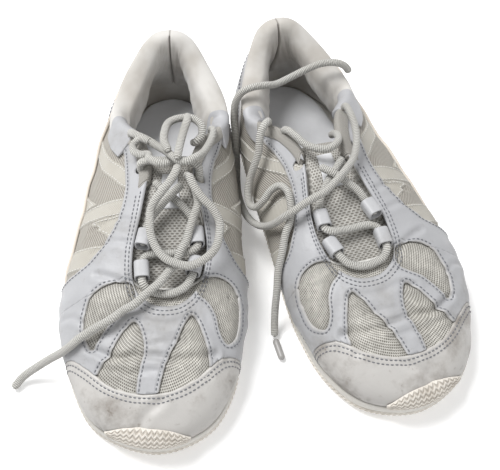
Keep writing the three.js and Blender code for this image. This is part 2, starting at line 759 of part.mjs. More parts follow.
// The origin is the middle of the shoes' own box, so it is set before the laces go in.
const pair = new THREE.Group();
pair.add(right, leftPlace);
pair.updateMatrixWorld(true);
const box = new THREE.Box3().setFromObject(pair, true);
pair.position.set(-(box.min.x + box.max.x) / 2, -(box.min.y + box.max.y) / 2, -box.min.z);

addPieces(right, 'right', laces({ ...sharedLaces, ...rightLaces }));
addPieces(left, 'left', laces({ ...sharedLaces, ...leftLaces }));
addPieces(left, 'left', {
  aglet: [cordGeometry(agletPoints, agletDiameter), finish(0x9b9a96, 0.35)],
});

const group = new THREE.Group();
group.add(pair);
export default group;
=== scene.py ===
# %% [markdown]
# # A pair of cheer shoes
# Low white shoes of synthetic leather over mesh, on thin cream rubber soles.  The right one
# is tied in a loose bow, and the left one's laces hang free.  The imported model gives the
# places and the sizes, and this script makes the fine surface over it: leather, mesh,
# stitching and laces.

# %% The frame and the tools
import math

import bpy
import numpy as np
from mathutils import Matrix, Vector


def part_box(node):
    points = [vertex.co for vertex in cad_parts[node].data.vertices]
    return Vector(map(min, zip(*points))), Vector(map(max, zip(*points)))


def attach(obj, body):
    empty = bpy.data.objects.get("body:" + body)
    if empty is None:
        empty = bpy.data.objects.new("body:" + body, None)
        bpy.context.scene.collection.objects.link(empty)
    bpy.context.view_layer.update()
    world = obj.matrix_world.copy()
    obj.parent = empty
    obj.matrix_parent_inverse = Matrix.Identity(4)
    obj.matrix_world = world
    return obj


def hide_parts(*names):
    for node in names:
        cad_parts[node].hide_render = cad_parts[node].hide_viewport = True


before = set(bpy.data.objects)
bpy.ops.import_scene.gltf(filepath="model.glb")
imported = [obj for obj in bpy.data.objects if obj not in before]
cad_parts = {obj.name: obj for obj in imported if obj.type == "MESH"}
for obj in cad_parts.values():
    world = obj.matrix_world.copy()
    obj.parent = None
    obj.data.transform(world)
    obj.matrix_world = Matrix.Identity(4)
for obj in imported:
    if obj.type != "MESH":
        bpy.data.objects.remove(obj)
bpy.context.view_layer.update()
MM = 0.001
SIDES = ("right", "left")

# %% [markdown]
# ## The last
# A shoe is built round a foot-shaped block, the last.  It could be sculpted by hand, but a
# table of stations keeps both shoes and every layer on one exact surface.  The stations go
# from the heel seam round the outer side to the toe and back along the inner side.
# `t` runs from the heel to the toe, `w` is positive on the outer side and `z` is up.
# Columns: lower edge t, w; top edge t, w, z; then bulge (mm), rise, reach and drop of the
# wall's curve.  Lengths are in percent of the sole's length, ball width and heel height.

# %% Driving dimensions and stations
SHOE_LENGTH = 250.0
BALL_WIDTH = 100.0
HEEL_HEIGHT = 84.0
HEEL_STACK, FORE_STACK = 15.0, 10.0
TOE_SPRING, SPRING_START, SPRING_SPAN = 6.0, 0.78, 0.22
WEDGE_START, WEDGE_SPAN = 0.25, 0.37
OUTSOLE_THICK = 4.0
SOLE_EDGE = 1.0
GAP = 0.3
OVERLAY_THICK, CLOTH_THICK, STIFFENER_THICK, LINING_THICK = 1.1, 1.0, 0.8, 1.0
INSOLE_INSET, BOARD_THICK, SOCK_THICK = 7.4, 1.6, 4.0
COLLAR_HALF_HEIGHT, COLLAR_MARGIN = 7.5, 1.0
LACE_DIAMETER = 4.4
LEFT_TURN = math.radians(21.1)
STATIONS = np.array([
    [1.8, 0, 4.4, 0, 98, 4, 0.36, 0.35, 0.3],
    [4.6, 19, 5.8, 12, 95, 7, 0.36, 0.5, 0.3],
    [12, 30.5, 11, 22.5, 83.5, 11, 0.36, 0.8, 0.3],
    [20, 34.5, 17, 30, 73.5, 15, 0.34, 0.9, 0.32],
    [28.8, 37, 22.8, 32.5, 69.8, 17, 0.34, 1, 0.34],
    [36.8, 39, 27, 26.5, 72.5, 18, 0.34, 1.1, 0.36],
    [44.8, 42, 32.4, 14.5, 77.5, 18, 0.34, 1, 0.36],
    [53.6, 45.5, 40.4, 8.5, 79, 18, 0.34, 0.9, 0.32],
    [62.8, 50, 50.4, 10.5, 73.5, 18, 0.36, 0.78, 0.28],
    [73.6, 51.5, 60, 14, 66, 14, 0.4, 0.6, 0.2],
    [85, 44.5, 67.6, 12, 58.5, 8, 0.46, 0.5, 0.14],
    [94.4, 28.5, 71, 3, 56, 5, 0.5, 0.47, 0.12],
    [98.6, -2, 71.6, -6, 55.5, 4, 0.5, 0.45, 0.12],
    [94, -29, 70.4, -15, 55.5, 5, 0.5, 0.47, 0.12],
    [84.6, -42, 66.4, -23, 57, 8, 0.46, 0.5, 0.14],
    [73.6, -46, 59, -26.5, 64, 11, 0.42, 0.6, 0.2],
    [62.8, -45, 50.4, -23.5, 72, 15, 0.36, 0.8, 0.28],
    [53.6, -42, 40.4, -17.5, 78, 16, 0.34, 0.95, 0.32],
    [44.8, -39.5, 32.4, -21.5, 77, 17, 0.34, 1.05, 0.36],
    [36.8, -37.5, 27.2, -31.5, 72.6, 17, 0.34, 1.05, 0.36],
    [28.8, -35.5, 23.2, -35.5, 69.6, 15, 0.34, 1, 0.34],
    [20, -32.5, 17.2, -32.5, 72.8, 12, 0.34, 1, 0.32],
    [12, -28.5, 11, -23, 83, 9, 0.36, 0.8, 0.3],
    [4.6, -18, 5.8, -12, 95, 6, 0.36, 0.5, 0.3],
])
COUNT = len(STATIONS)
TOE = COUNT / 2
print("stations:", COUNT)

# %% [markdown]
# ## The upper's surface
# At each station the wall is one cubic curve from the sole's edge up to the top edge.  The
# table's columns are joined by smooth splines, so any point (a, v) can be asked for: `a`
# counts stations round the shoe and `v` goes from 0 at the sole to 1 at the top edge.

# %% Edges and surface
def column(index, a):
    """Uniform Catmull-Rom through one column of the closed list of stations."""
    a = np.asarray(a, float)
    base = np.floor(a).astype(int)
    f = a - base
    p0, p1, p2, p3 = (STATIONS[(base + k) % COUNT, index] for k in (-1, 0, 1, 2))
    slope1, slope2 = (p2 - p0) / 2, (p3 - p1) / 2
    cubic = 2 * p1 - 2 * p2 + slope1 + slope2
    square = -3 * p1 + 3 * p2 - 2 * slope1 - slope2
    return ((cubic * f + square) * f + slope1) * f + p1


def spring_at(t):
    """How far the toe is turned up off the floor."""
    s = np.clip((t / SHOE_LENGTH - SPRING_START) / SPRING_SPAN, 0, 1)
    return TOE_SPRING * s * s


def sole_top_at(t):
    """The wedge's top: the heel's stack eases down to the ball's."""
    s = np.clip((t / SHOE_LENGTH - WEDGE_START) / WEDGE_SPAN, 0, 1)
    ease = s * s * (3 - 2 * s)
    return HEEL_STACK + (FORE_STACK - HEEL_STACK) * ease + spring_at(t)


def lower_edge(a):
    t = column(0, a) * SHOE_LENGTH / 100
    return np.stack([column(1, a) * BALL_WIDTH / 100, t, sole_top_at(t) + 2 * GAP], -1)


def top_edge(a):
    return np.stack([
        column(3, a) * BALL_WIDTH / 100,
        column(2, a) * SHOE_LENGTH / 100,
        column(4, a) * HEEL_HEIGHT / 100,
    ], -1)


def unit(v):
    return v / np.maximum(np.linalg.norm(v, axis=-1, keepdims=True), 1e-9)


def level_direction(edge, a, reach=0.02):
    """The unit direction along an edge of the wall, seen in plan."""
    along = edge(a + reach) - edge(a - reach)
    along[..., 2] = 0
    return unit(along)


def surface(a, v):
    """The upper's outer surface, as (w, t, z): a cubic curve up the wall at each station."""
    a, v = np.broadcast_arrays(np.asarray(a, float), np.asarray(v, float))
    low, top = lower_edge(a), top_edge(a)
    along = level_direction(lower_edge, a)
    height = top[..., 2] - low[..., 2]
    out = np.stack([along[..., 1], -along[..., 0], 0 * height], -1)
    p1 = low + out * column(5, a)[..., None]
    p1[..., 2] += column(6, a) * height
    reach = column(7, a)
    p2 = np.stack([
        top[..., 0] + reach * (low[..., 0] - top[..., 0]),
        top[..., 1] + reach * (low[..., 1] - top[..., 1]),
        top[..., 2] - column(8, a) * height,
    ], -1)
    u, v = (1 - v)[..., None], v[..., None]
    return low * u**3 + p1 * 3 * u * u * v + p2 * 3 * u * v * v + top * v**3


def surface_normal(a, v):
    e = 0.01
    around = surface(a + e, v) - surface(a - e, v)
    up = surface(a, np.minimum(1, v + e)) - surface(a, np.maximum(0, v - e))
    return unit(np.cross(around, up))


def wall_height(a):
    return np.linalg.norm(surface(a, 1.0) - surface(a, 0.0), axis=-1)


print("toe cap height:", round(float(surface(TOE, 1.0)[2]), 1), "mm")

# %% [markdown]
# ## Wear
# Worn shoes crease where the foot bends.  A bump in the material would not show in the
# outline, so the creases are real dents: each is a path in plan with a width and a depth in
# millimetres, and small waves go between them.  Every layer follows them, so none shows
# through another.

# %% Creases and dents
CREASES = [
    ([(-33, 202), (-12, 208), (4, 205), (20, 207), (35, 200)], 1.6, 2.1),
    ([(-22, 185), (-6, 189), (8, 187), (16, 190)], 1.5, 1.2),
    ([(-17, 197), (-4, 199), (9, 202)], 1.2, 1.0),
    ([(10, 174), (21, 165), (34, 160)], 1.5, 1.1),
    ([(-21, 172), (-12, 178), (-4, 181)], 1.3, 0.9),
    ([(17, 132), (29, 128), (40, 131)], 1.5, 1.1),
    ([(-25, 133), (-34, 128)], 1.5, 1.1),
    ([(-30, 214), (-16, 216), (-2, 213), (12, 215), (28, 211)], 1.3, 0.9),
    ([(18, 145), (28, 142), (38, 146)], 1.4, 0.8),
    ([(-47, 176), (-40, 170)], 1.2, 0.8),
    ([(40, 186), (46, 181), (52, 180)], 1.3, 0.9),
    ([(-6, 228), (2, 234), (6, 240)], 2.2, 1.0),
]
FLEX_AT, FLEX_SPREAD = 192, 36
LIP_SHARE, LIP_AWAY = 0.4, 2.2
HOLD_LOW, HOLD_TOP = 0.15, 0.07


def dent(p):
    """How far wear has pushed the surface in: creases at the ball, and small waves."""
    w, t = p[..., 0], p[..., 1]
    flex = np.exp(-((t - FLEX_AT) / FLEX_SPREAD) ** 2)
    waves = 0.4 * np.sin(t / 5.3 + 1.3 * np.sin(w / 8)) * np.sin(w / 6.1 + 0.7)
    patch = 0.5 + 0.5 * np.sin(w / 9.3 + 1.1) * np.sin(t / 11.7 + 0.4)
    fine = np.sin(t / 2.1 + w / 4.1 + 1.7 * np.sin(w / 5.1))
    total = waves + (0.06 + 0.3 * flex * patch) * fine + 0.15
    for line, width, deep in CREASES:
        away = np.full(w.shape, 1e9)
        for (w0, t0), (w1, t1) in zip(line, line[1:]):
            dw, dt = w1 - w0, t1 - t0
            f = np.clip(((w - w0) * dw + (t - t0) * dt) / (dw * dw + dt * dt), 0, 1)
            away = np.minimum(away, np.hypot(w - w0 - f * dw, t - t0 - f * dt))
        lip = np.exp(-((away - LIP_AWAY * width) / width) ** 2)
        total = total + deep * (np.exp(-(away / width) ** 2) - LIP_SHARE * lip)
    return total


def inset(a, v, depth):
    """A point so far under the outer surface, with the wear dents in it."""
    a, v = np.broadcast_arrays(np.asarray(a, float), np.asarray(v, float))
    p = surface(a, v)
    hold = np.clip(v / HOLD_LOW, 0, 1) * np.clip((1 - v) / HOLD_TOP, 0, 1)
    back = np.asarray(depth, float) + dent(p) * hold
    return p - surface_normal(a, v) * back[..., None]


print("creases:", len(CREASES))

# %% [markdown]
# ## From one shoe to the pair
# Both shoes come from one pattern: the left one is its mirror image, turned so that its toe
# points outwards.  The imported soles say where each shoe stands, so nothing is set by eye.

# %% Placing each shoe
def flat_place(side, p):
    """Shoe coordinates as x, y, z, mirrored and turned for the left shoe."""
    p = np.asarray(p, float)
    x, y = -p[..., 0], SHOE_LENGTH / 2 - p[..., 1]
    if side == "left":
        c, s = math.cos(LEFT_TURN), math.sin(LEFT_TURN)
        x, y = -x * c - y * s, -x * s + y * c
    return np.stack([x, y, p[..., 2]], -1)


def outline(grow, count=400):
    """The sole's outline, `grow` millimetres outside the upper's lower edge."""
    a = np.linspace(0, COUNT, count, endpoint=False)
    p = lower_edge(a)
    along = level_direction(lower_edge, a)
    p[:, 0] += along[:, 1] * grow
    p[:, 1] -= along[:, 0] * grow
    return p


SHIFT = {}
for side in SIDES:
    low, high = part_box(f"{side}_outsole")
    mine = flat_place(side, outline(SOLE_EDGE))
    centre = (mine[:, :2].min(0) + mine[:, :2].max(0)) / 2
    SHIFT[side] = np.array([
        (low.x + high.x) / 2 / MM - centre[0],
        (low.y + high.y) / 2 / MM - centre[1],
        0,
    ])
    print(side, "shoe stands at", SHIFT[side].round(2))


def place(side, p):
    """Shoe coordinates in millimetres to the row frame in metres."""
    return (flat_place(side, p) + SHIFT[side]) * MM


# %% [markdown]
# ## Camera
# A three-quarter view from above and in front of the toes, with a slight roll.  The camera's
# matrix is built from its own axes, because three Euler angles with a roll are easy to get
# wrong.

# %% Camera
CAMERA_AT = (-0.0194, -0.2958, 0.4960)
LENS_MM = 67.6
YAW, PITCH, ROLL = (math.radians(x) for x in (1.776, 57.83, 2.843))
camera_data = bpy.data.cameras.new("camera")
camera = bpy.data.objects.new("camera", camera_data)
bpy.context.scene.collection.objects.link(camera)
bpy.context.scene.camera = camera
camera_data.sensor_width = 36
camera_data.lens = LENS_MM
camera_data.clip_start = 0.01
ahead = Vector((
    math.sin(YAW) * math.cos(PITCH), math.cos(YAW) * math.cos(PITCH), -math.sin(PITCH),
))
across = ahead.cross(Vector((0, 0, 1))).normalized()
upward = across.cross(ahead)
right_axis = math.cos(ROLL) * across + math.sin(ROLL) * upward
up_axis = -math.sin(ROLL) * across + math.cos(ROLL) * upward
axes = Matrix((right_axis, up_axis, -ahead)).transposed()
camera.matrix_world = Matrix.Translation(CAMERA_AT) @ axes.to_4x4()
print("camera looks along", tuple(round(x, 3) for x in ahead))

# %% [markdown]
# ## Shader sums
# Materials are written as sums.  `Value` wraps a node's output so that `+`, `*` and the
# rest make Math nodes, and `Recipe` makes every other node with one method.  That is far
# shorter than linking sockets one by one, and it reads like the formula it is.

# %% Value and Recipe
class Value:
    """A node's output that can stand in a sum."""

    def __init__(self, recipe, socket):
        self.recipe = recipe
        self.socket = socket

    def math(self, operation, *others):
        return self.recipe.math(operation, self, *others)

    def __add__(self, other):
        return self.math("ADD", other)

    __radd__ = __add__

    def __sub__(self, other):
        return self.math("SUBTRACT", other)

    def __rsub__(self, other):
        return self.recipe.math("SUBTRACT", other, self)

    def __mul__(self, other):
        return self.math("MULTIPLY", other)

    def __truediv__(self, other):
        return self.math("DIVIDE", other)

    def sine(self):
        return self.math("SINE")

    def size(self):
        return self.math("ABSOLUTE")

    def fraction(self):
        return self.math("FRACT")

    def whole(self):
        return self.math("FLOOR")

    def most(self, other):
        return self.math("MAXIMUM", other)

    def step(self, low, high):
        return self.recipe.node("ShaderNodeMapRange", "Result", {
            "Value": self, "From Min": low, "From Max": high,
        }, interpolation_type="SMOOTHSTEP")


class Recipe:
    """One material, with the slot its pieces name and a method for each kind of node."""

    def __init__(self, name, slot):
        self.material = bpy.data.materials.new(name)
        self.material.use_nodes = True
        self.slot = slot
        self.tree = self.material.node_tree
        self.shader = self.tree.nodes["Principled BSDF"]

    def feed(self, socket, value):
        if isinstance(value, Value):
            self.tree.links.new(value.socket, socket)
        else:
            socket.default_value = value

    def node(self, kind, output, sockets, **settings):
        made = self.tree.nodes.new(kind)
        for key, value in settings.items():
            setattr(made, key, value)
        for key, value in sockets.items():
            self.feed(made.inputs[key], value)
        return Value(self, made.outputs[output])

    def math(self, operation, *terms):
        return self.node("ShaderNodeMath", 0, dict(enumerate(terms)), operation=operation)

    def attribute(self, name, output="Fac"):
        return self.node("ShaderNodeAttribute", output, {}, attribute_name=name)

    def cloth(self):
        """Millimetres along and across the piece, from its own attribute."""
        both = self.node("ShaderNodeSeparateXYZ", "X", {
            "Vector": self.attribute("cloth", "Vector"),
        })
        return both, Value(self, both.socket.node.outputs["Y"])

    def noise(self, per_metre, detail=3.0, rough=0.55):
        position = self.node("ShaderNodeTexCoord", "Object", {})
        return self.node("ShaderNodeTexNoise", "Fac", {
            "Vector": position, "Scale": per_metre, "Detail": detail, "Roughness": rough,
        })

    def blend(self, share, a, b):
        colours = [c if isinstance(c, Value) else (*c, 1) for c in (a, b)]
        sockets = {0: share, 6: colours[0], 7: colours[1]}
        return self.node("ShaderNodeMix", 2, sockets, data_type="RGBA")

    def finish(self, colour, roughness, height=None, depth=0.0002, strength=1.0, **constants):
        self.feed(self.shader.inputs["Base Color"], colour)
        self.feed(self.shader.inputs["Roughness"], roughness)
        if height is not None:
            bump = self.node("ShaderNodeBump", "Normal", {
                "Height": height, "Distance": depth, "Strength": strength,
            })
            self.feed(self.shader.inputs["Normal"], bump)
        for key, value in constants.items():
            self.shader.inputs[key.replace("_", " ")].default_value = value
        return self


def shade(colour, share):
    """A plain colour made darker."""
    return tuple(c * share for c in colour)


print("node helpers ready")

# %% [markdown]
# ## Leather
# The overlays are smooth cool-white synthetic leather, scuffed at the toe and darker where it
# meets the sole, which is painted shade mottled by the stains.  Stains and streaks come from
# noise, and the worn edge from `edge`, the distance to the cut in millimetres that each piece
# carries.  No image is needed, and the marks stay the same size on every piece.

# %% Leather, toe leather and tape
def leather(name, slot, white, scuff_and_shade, amount):
    r = Recipe(name, slot)
    edge = r.attribute("edge")
    soft = r.noise(55, 4.0)
    fine = r.noise(1500, 2.0)
    stain = r.noise(28, 6.0, 0.65).step(0.47, 0.72)
    streak = r.noise(190, 5.0, 0.7).step(0.58, 0.7)
    colour = r.blend(stain * amount + streak * amount * 0.5, white, scuff_and_shade)
    worn = 1.0 - edge.step(0.0, 1.1)
    # Painted shade: darker where `cloth` puts a point within 22 mm of the sole, mottled by the
    # stains.
    _, up = r.cloth()
    low = 1.0 - up.step(0.0, 22.0)
    colour = r.blend(low * (0.35 + stain * 0.65) * amount, colour, shade(scuff_and_shade, 0.6))
    colour = r.blend(worn * 0.55, colour, (0.50, 0.48, 0.45))
    fold = 1.0 - ((edge - 1.9) / 0.9).size().step(0.0, 1.0)
    height = soft * 1.6 + fine * 0.12 - fold * 0.35
    return r.finish(colour, 0.38 + soft * 0.2 + stain * amount * 0.25, height, 0.0011, 0.55)


# The second colour is for scuffs and stains, and, darkened, for the painted shade near the sole.
LEATHER = leather(
    "white_leather", "overlay_leather", (0.415, 0.418, 0.432), (0.285, 0.275, 0.262), 0.6,
)
TOE_LEATHER = leather(
    "toe_leather", "toe_leather", (0.515, 0.50, 0.48), (0.24, 0.215, 0.19), 0.95,
)
TAPE = leather("tape_leather", "webbing", (0.47, 0.475, 0.49), (0.34, 0.33, 0.32), 0.35)
print("leathers:", LEATHER.slot, TOE_LEATHER.slot, TAPE.slot)

# %% [markdown]
# ## Cloths
# The toe windows and the tongue are silver-beige open mesh, the sides a ribbed warm textile
# and the inside a brushed lining.  Threads are far too many to model, so their pattern is
# worked out from `cloth`, the millimetres along and across each piece, with a small bump.

# %% Mesh, ribbed cloth and lining
TURN = 2 * math.pi


def mesh_cloth(name, slot, thread, hole_shade, pitch):
    r = Recipe(name, slot)
    along, over = r.cloth()
    row = (over / pitch).whole()
    odd = (row * 0.5).fraction()
    u = (along / pitch + odd).fraction() - 0.5
    v = (over / pitch).fraction() - 0.5
    radius = (u * u + v * v).math("SQRT")
    open_ = 1.0 - radius.step(0.22, 0.4)
    dirt = r.noise(35, 5.0, 0.6).step(0.42, 0.7)
    shine = r.noise(300, 2.0)
    # Painted shade: darker within 7 mm of the cut edge, where the mesh goes under the pieces round
    # it, on top of the dirt noise.
    rim_shade = 1.0 - r.attribute("edge").step(1.0, 7.0)
    colour = r.blend(shine.step(0.35, 0.65), shade(thread, 0.8), thread)
    colour = r.blend((dirt * 0.6).most(rim_shade * 0.5), colour, shade(thread, 0.5))
    # Painted shade: the holes are painted dark, standing for the shade inside them.
    colour = r.blend(open_ * 0.85, colour, hole_shade)
    return r.finish(colour, 0.4 + shine * 0.3, shine * 0.3 - open_, 0.00035, 0.9)


def ribbed_cloth():
    r = Recipe("ribbed_cloth", "ribbed_cloth")
    along, up = r.cloth()
    rib = ((up * 0.88 - along * 0.48) * (TURN / 1.5)).sine()
    cross = ((along * 0.88 + up * 0.48) * (TURN / 1.2)).sine()
    thread = (rib * 0.5 + 0.5) * (cross * 0.22 + 0.78)
    dirt = r.noise(30, 5.0, 0.6).step(0.4, 0.72)
    colour = r.blend(thread, (0.245, 0.225, 0.195), (0.53, 0.508, 0.465))
    colour = r.blend(dirt * 0.3, colour, (0.29, 0.265, 0.225))
    return r.finish(colour, 0.7, thread, 0.0004, 0.9)


def band_cloth():
    r = Recipe("band_cloth", "ribbed_cloth")
    along, up = r.cloth()
    rib = ((along * 0.75 + up * 0.66) * (TURN / 1.25)).sine()
    dirt = r.noise(45, 5.0, 0.6).step(0.4, 0.72)
    colour = r.blend(rib * 0.5 + 0.5, (0.425, 0.405, 0.36), (0.535, 0.515, 0.465))
    colour = r.blend(dirt * 0.35, colour, (0.40, 0.37, 0.32))
    return r.finish(colour, 0.65, rib, 0.0002, 0.6)


def lining_cloth():
    r = Recipe("lining_cloth", "lining_cloth")
    soft = r.noise(40, 3.0)
    nap = r.noise(2600, 3.0, 0.7)
    colour = r.blend(soft.step(0.35, 0.7), (0.60, 0.585, 0.56), (0.46, 0.435, 0.40))
    seam = 1.0 - r.attribute("edge").step(0.0, 1.3)
    colour = r.blend(seam * 0.7, colour, (0.16, 0.14, 0.12))
    return r.finish(colour, 0.92, nap * 0.35 + soft, 0.0004, 0.5, Sheen_Weight=0.25)


def binding_cloth():
    r = Recipe("ribbed_binding", "lining_cloth")
    along, _ = r.cloth()
    rib = (along * (TURN / 0.9)).sine()
    colour = r.blend(rib * 0.5 + 0.5, (0.30, 0.285, 0.26), (0.56, 0.54, 0.50))
    return r.finish(colour, 0.85, rib, 0.0003, 0.8)


# The second colour of each mesh is the painted shade in its holes.
MESH = mesh_cloth("open_mesh", "mesh_cloth", (0.64, 0.62, 0.57), (0.10, 0.09, 0.07), 1.25)
TONGUE_MESH = mesh_cloth("tongue_mesh", "tongue_mesh", (0.56, 0.545, 0.51), (0.17, 0.155, 0.13),
                         1.2)
RIBBED = ribbed_cloth()
BAND = band_cloth()
LINING = lining_cloth()
print("cloths:", [r.material.name for r in (MESH, TONGUE_MESH, RIBBED, BAND, LINING)])

# %% [markdown]
# ## Rubber, laces and plain materials
# The sole is cream rubber, darker in its grooves, which the mesh itself marks with `groove`.
# The laces are woven, with ribs round them.  Foam, board, thread and the rest need only a
# colour with a little unevenness, so one function serves them all.

# %% Rubber, foam, laces and the small materials
def rubber():
    r = Recipe("cream_rubber", "sole_rubber")
    soft = r.noise(60, 5.0, 0.6)
    speck = r.noise(900, 3.0)
    groove = r.attribute("groove")
    colour = r.blend(soft.step(0.45, 0.75), (0.74, 0.70, 0.64), (0.60, 0.555, 0.49))
    colour = r.blend(groove * 0.6, colour, (0.38, 0.335, 0.28))
    return r.finish(colour, 0.62 + speck * 0.15, speck - groove * 2.0, 0.0002, 0.6)


def lace_cloth():
    r = Recipe("lace_cord", "lace_cord")
    along, turn = r.cloth()
    rib = ((along * (TURN / 1.05)) + (turn * 2 * math.pi).sine() * 0.9).sine()
    plait = ((turn * 14.0 * math.pi) + along * 2.2).sine()
    dirt = r.noise(45, 4.0, 0.6).step(0.4, 0.72)
    colour = r.blend(rib * 0.5 + 0.5, (0.36, 0.35, 0.32), (0.68, 0.675, 0.645))
    colour = r.blend(dirt * 0.35, colour, (0.40, 0.38, 0.345))
    return r.finish(colour, 0.86, rib * 0.8 + plait * 0.25, 0.00035, 0.9, Sheen_Weight=0.15)


def plain(name, slot, colour, roughness, per_metre=900):
    r = Recipe(name, slot)
    speck = r.noise(per_metre, 3.0)
    soft = r.noise(40, 4.0)
    tone = r.blend(soft.step(0.4, 0.75), colour, shade(colour, 0.86))
    return r.finish(tone, roughness + speck * 0.1, speck, 0.00012, 0.5)


RUBBER = rubber()
LACE = lace_cloth()
FOAM = plain("midsole_foam", "midsole_foam", (0.60, 0.58, 0.54), 0.65)
BOARD = plain("fibre_board", "fibre_board", (0.62, 0.56, 0.45), 0.85)
SOCK = plain("sockliner_cloth", "sockliner_foam", (0.66, 0.665, 0.68), 0.8, 2200)
STIFF = plain("stiffener", "stiffener", (0.60, 0.55, 0.44), 0.6)
LABEL = plain("label", "label", (0.64, 0.645, 0.66), 0.6, 3000)
AGLET = plain("aglet", "aglet_plastic", (0.34, 0.33, 0.32), 0.3)
# The dark grey is partly the thread's colour and partly painted shade of the stitch holes.
THREAD = plain("thread", "overlay_leather", (0.17, 0.175, 0.19), 0.6)
PALE_THREAD = plain("pale_thread", "overlay_leather", (0.66, 0.65, 0.62), 0.6)
PIPING = plain("piping", "overlay_leather", (0.66, 0.60, 0.53), 0.5)
BINDING = binding_cloth()
print("materials:", len(bpy.data.materials))

# %% [markdown]
# ## Making a piece
# A piece is a cloud of points in shoe coordinates with faces, written once for both shoes.
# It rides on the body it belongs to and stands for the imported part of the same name.
# `edge` holds the distance to the cut edge and `cloth` the distances along the material, so
# one material can serve pieces of any shape.

# %% Mesh builders
UNCUT = 9.0


def add_piece(side, name, points, faces, recipe, body="shoe", replaces=None, edge=None,
              cloth=None, groove=None, smooth=True):
    """One visible piece.  An edge of UNCUT says that no cut edge is near."""
    points = np.asarray(points).reshape(-1, 3)
    faces = faces.tolist() if isinstance(faces, np.ndarray) else faces
    if side == "left":
        faces = [face[::-1] for face in faces]
    mesh = bpy.data.meshes.new(f"{side}_{name}")
    mesh.from_pydata(place(side, points).tolist(), [], faces)
    for key, kind, field, width, data in (
        ("edge", "FLOAT", "value", 1, edge),
        ("cloth", "FLOAT_VECTOR", "vector", 3, cloth),
        ("groove", "FLOAT", "value", 1, groove),
    ):
        if data is not None:
            values = np.asarray(data, np.float32).reshape(-1, width)
            layer = mesh.attributes.new(key, kind, "POINT")
            layer.data.foreach_set(field, np.broadcast_to(values, (len(points), width)).ravel())
    mesh.materials.append(recipe.material)
    mesh.polygons.foreach_set("use_smooth", [smooth] * len(mesh.polygons))
    piece = bpy.data.objects.new(f"{side}_{name}", mesh)
    bpy.context.scene.collection.objects.link(piece)
    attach(piece, f"{side}_{body}")
    if replaces:
        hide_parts(f"{side}_{replaces}")
    return piece


def add_pair(name, points, faces, recipe, **more):
    """The same piece on both shoes."""
    return [add_piece(side, name, points, faces, recipe, **more) for side in SIDES]


def grid_faces(rows, columns, wrap_rows=False, wrap_columns=False):
    """Quads over a grid of points that are numbered row by row."""
    r = np.arange(rows if wrap_rows else rows - 1)
    c = np.arange(columns if wrap_columns else columns - 1)
    r, c = np.meshgrid(r, c, indexing="ij")
    r2, c2 = (r + 1) % rows, (c + 1) % columns
    quads = np.stack([r * columns + c, r2 * columns + c, r2 * columns + c2, r * columns + c2], -1)
    return quads.reshape(-1, 4)


def lengths_along(points):
    """The distance from the start at each point of a path."""
    return np.concatenate([[0], np.cumsum(np.linalg.norm(np.diff(points, axis=0), axis=1))])


def smooth_line(points, closed=False, step=1.5):
    """A curve through given points, sampled about every `step` millimetres."""
    p = np.asarray(points, float)
    if closed:
        p = np.vstack([p[-1:], p, p[:2]])
    else:
        p = np.vstack([2 * p[0] - p[1], p, 2 * p[-1] - p[-2]])
    made = []
    for i in range(1, len(p) - 2):
        p0, p1, p2, p3 = p[i - 1:i + 3]
        d0, d1, d2 = (max(np.linalg.norm(q) ** 0.5, 1e-3) for q in (p1 - p0, p2 - p1, p3 - p2))
        m1 = ((p1 - p0) / d0 - (p2 - p0) / (d0 + d1) + (p2 - p1) / d1) * d1
        m2 = ((p2 - p1) / d1 - (p3 - p1) / (d1 + d2) + (p3 - p2) / d2) * d1
        count = max(2, int(np.linalg.norm(p2 - p1) / step))
        f = np.linspace(0, 1, count, endpoint=False)[:, None]
        made.append(p1 + f * (m1 + f * (-3 * p1 + 3 * p2 - 2 * m1 - m2
                                        + f * (2 * p1 - 2 * p2 + m1 + m2))))
    if not closed:
        made.append(p[-2:-1])
    return np.vstack(made)


print("mesh builders ready")

# %% [markdown]
# ## Cutting patterns
# Every layer of the upper is cut from the same surface.  A pattern is an outline in plan
# or from the side, and its signed distance says what is kept and how far a point is from
# the cut edge, which also guides the stitching.  Boolean cuts would leave ragged rims on
# such thin sheets, so the triangles are clipped along the line where the distance is zero.

# %% Distance to an outline, and cutting along it
def distance_inside(outline_points, x, y):
    """Signed distance to a closed outline, positive inside."""
    p = np.asarray(outline_points, float)
    q = np.roll(p, -1, axis=0)
    best = np.full(x.shape, 1e9)
    odd = np.zeros(x.shape, bool)
    for (x0, y0), (x1, y1) in zip(p, q):
        dx, dy = x1 - x0, y1 - y0
        f = np.clip(((x - x0) * dx + (y - y0) * dy) / max(dx * dx + dy * dy, 1e-9), 0, 1)
        best = np.minimum(best, np.hypot(x - x0 - f * dx, y - y0 - f * dy))
        crosses = (y0 > y) != (y1 > y)
        reach = x0 + (y - y0) * dx / (dy if abs(dy) > 1e-9 else 1e-9)
        odd ^= crosses & (x < reach)
    return np.where(odd, best, -best)


def plan_distance(outline_points, p):
    return distance_inside(outline_points, p[:, 0], p[:, 1])


def side_distance(outline_points, p):
    return distance_inside(outline_points, p[:, 1], p[:, 2])


def least(*distances):
    """Inside every pattern at once."""
    return np.minimum.reduce(distances)


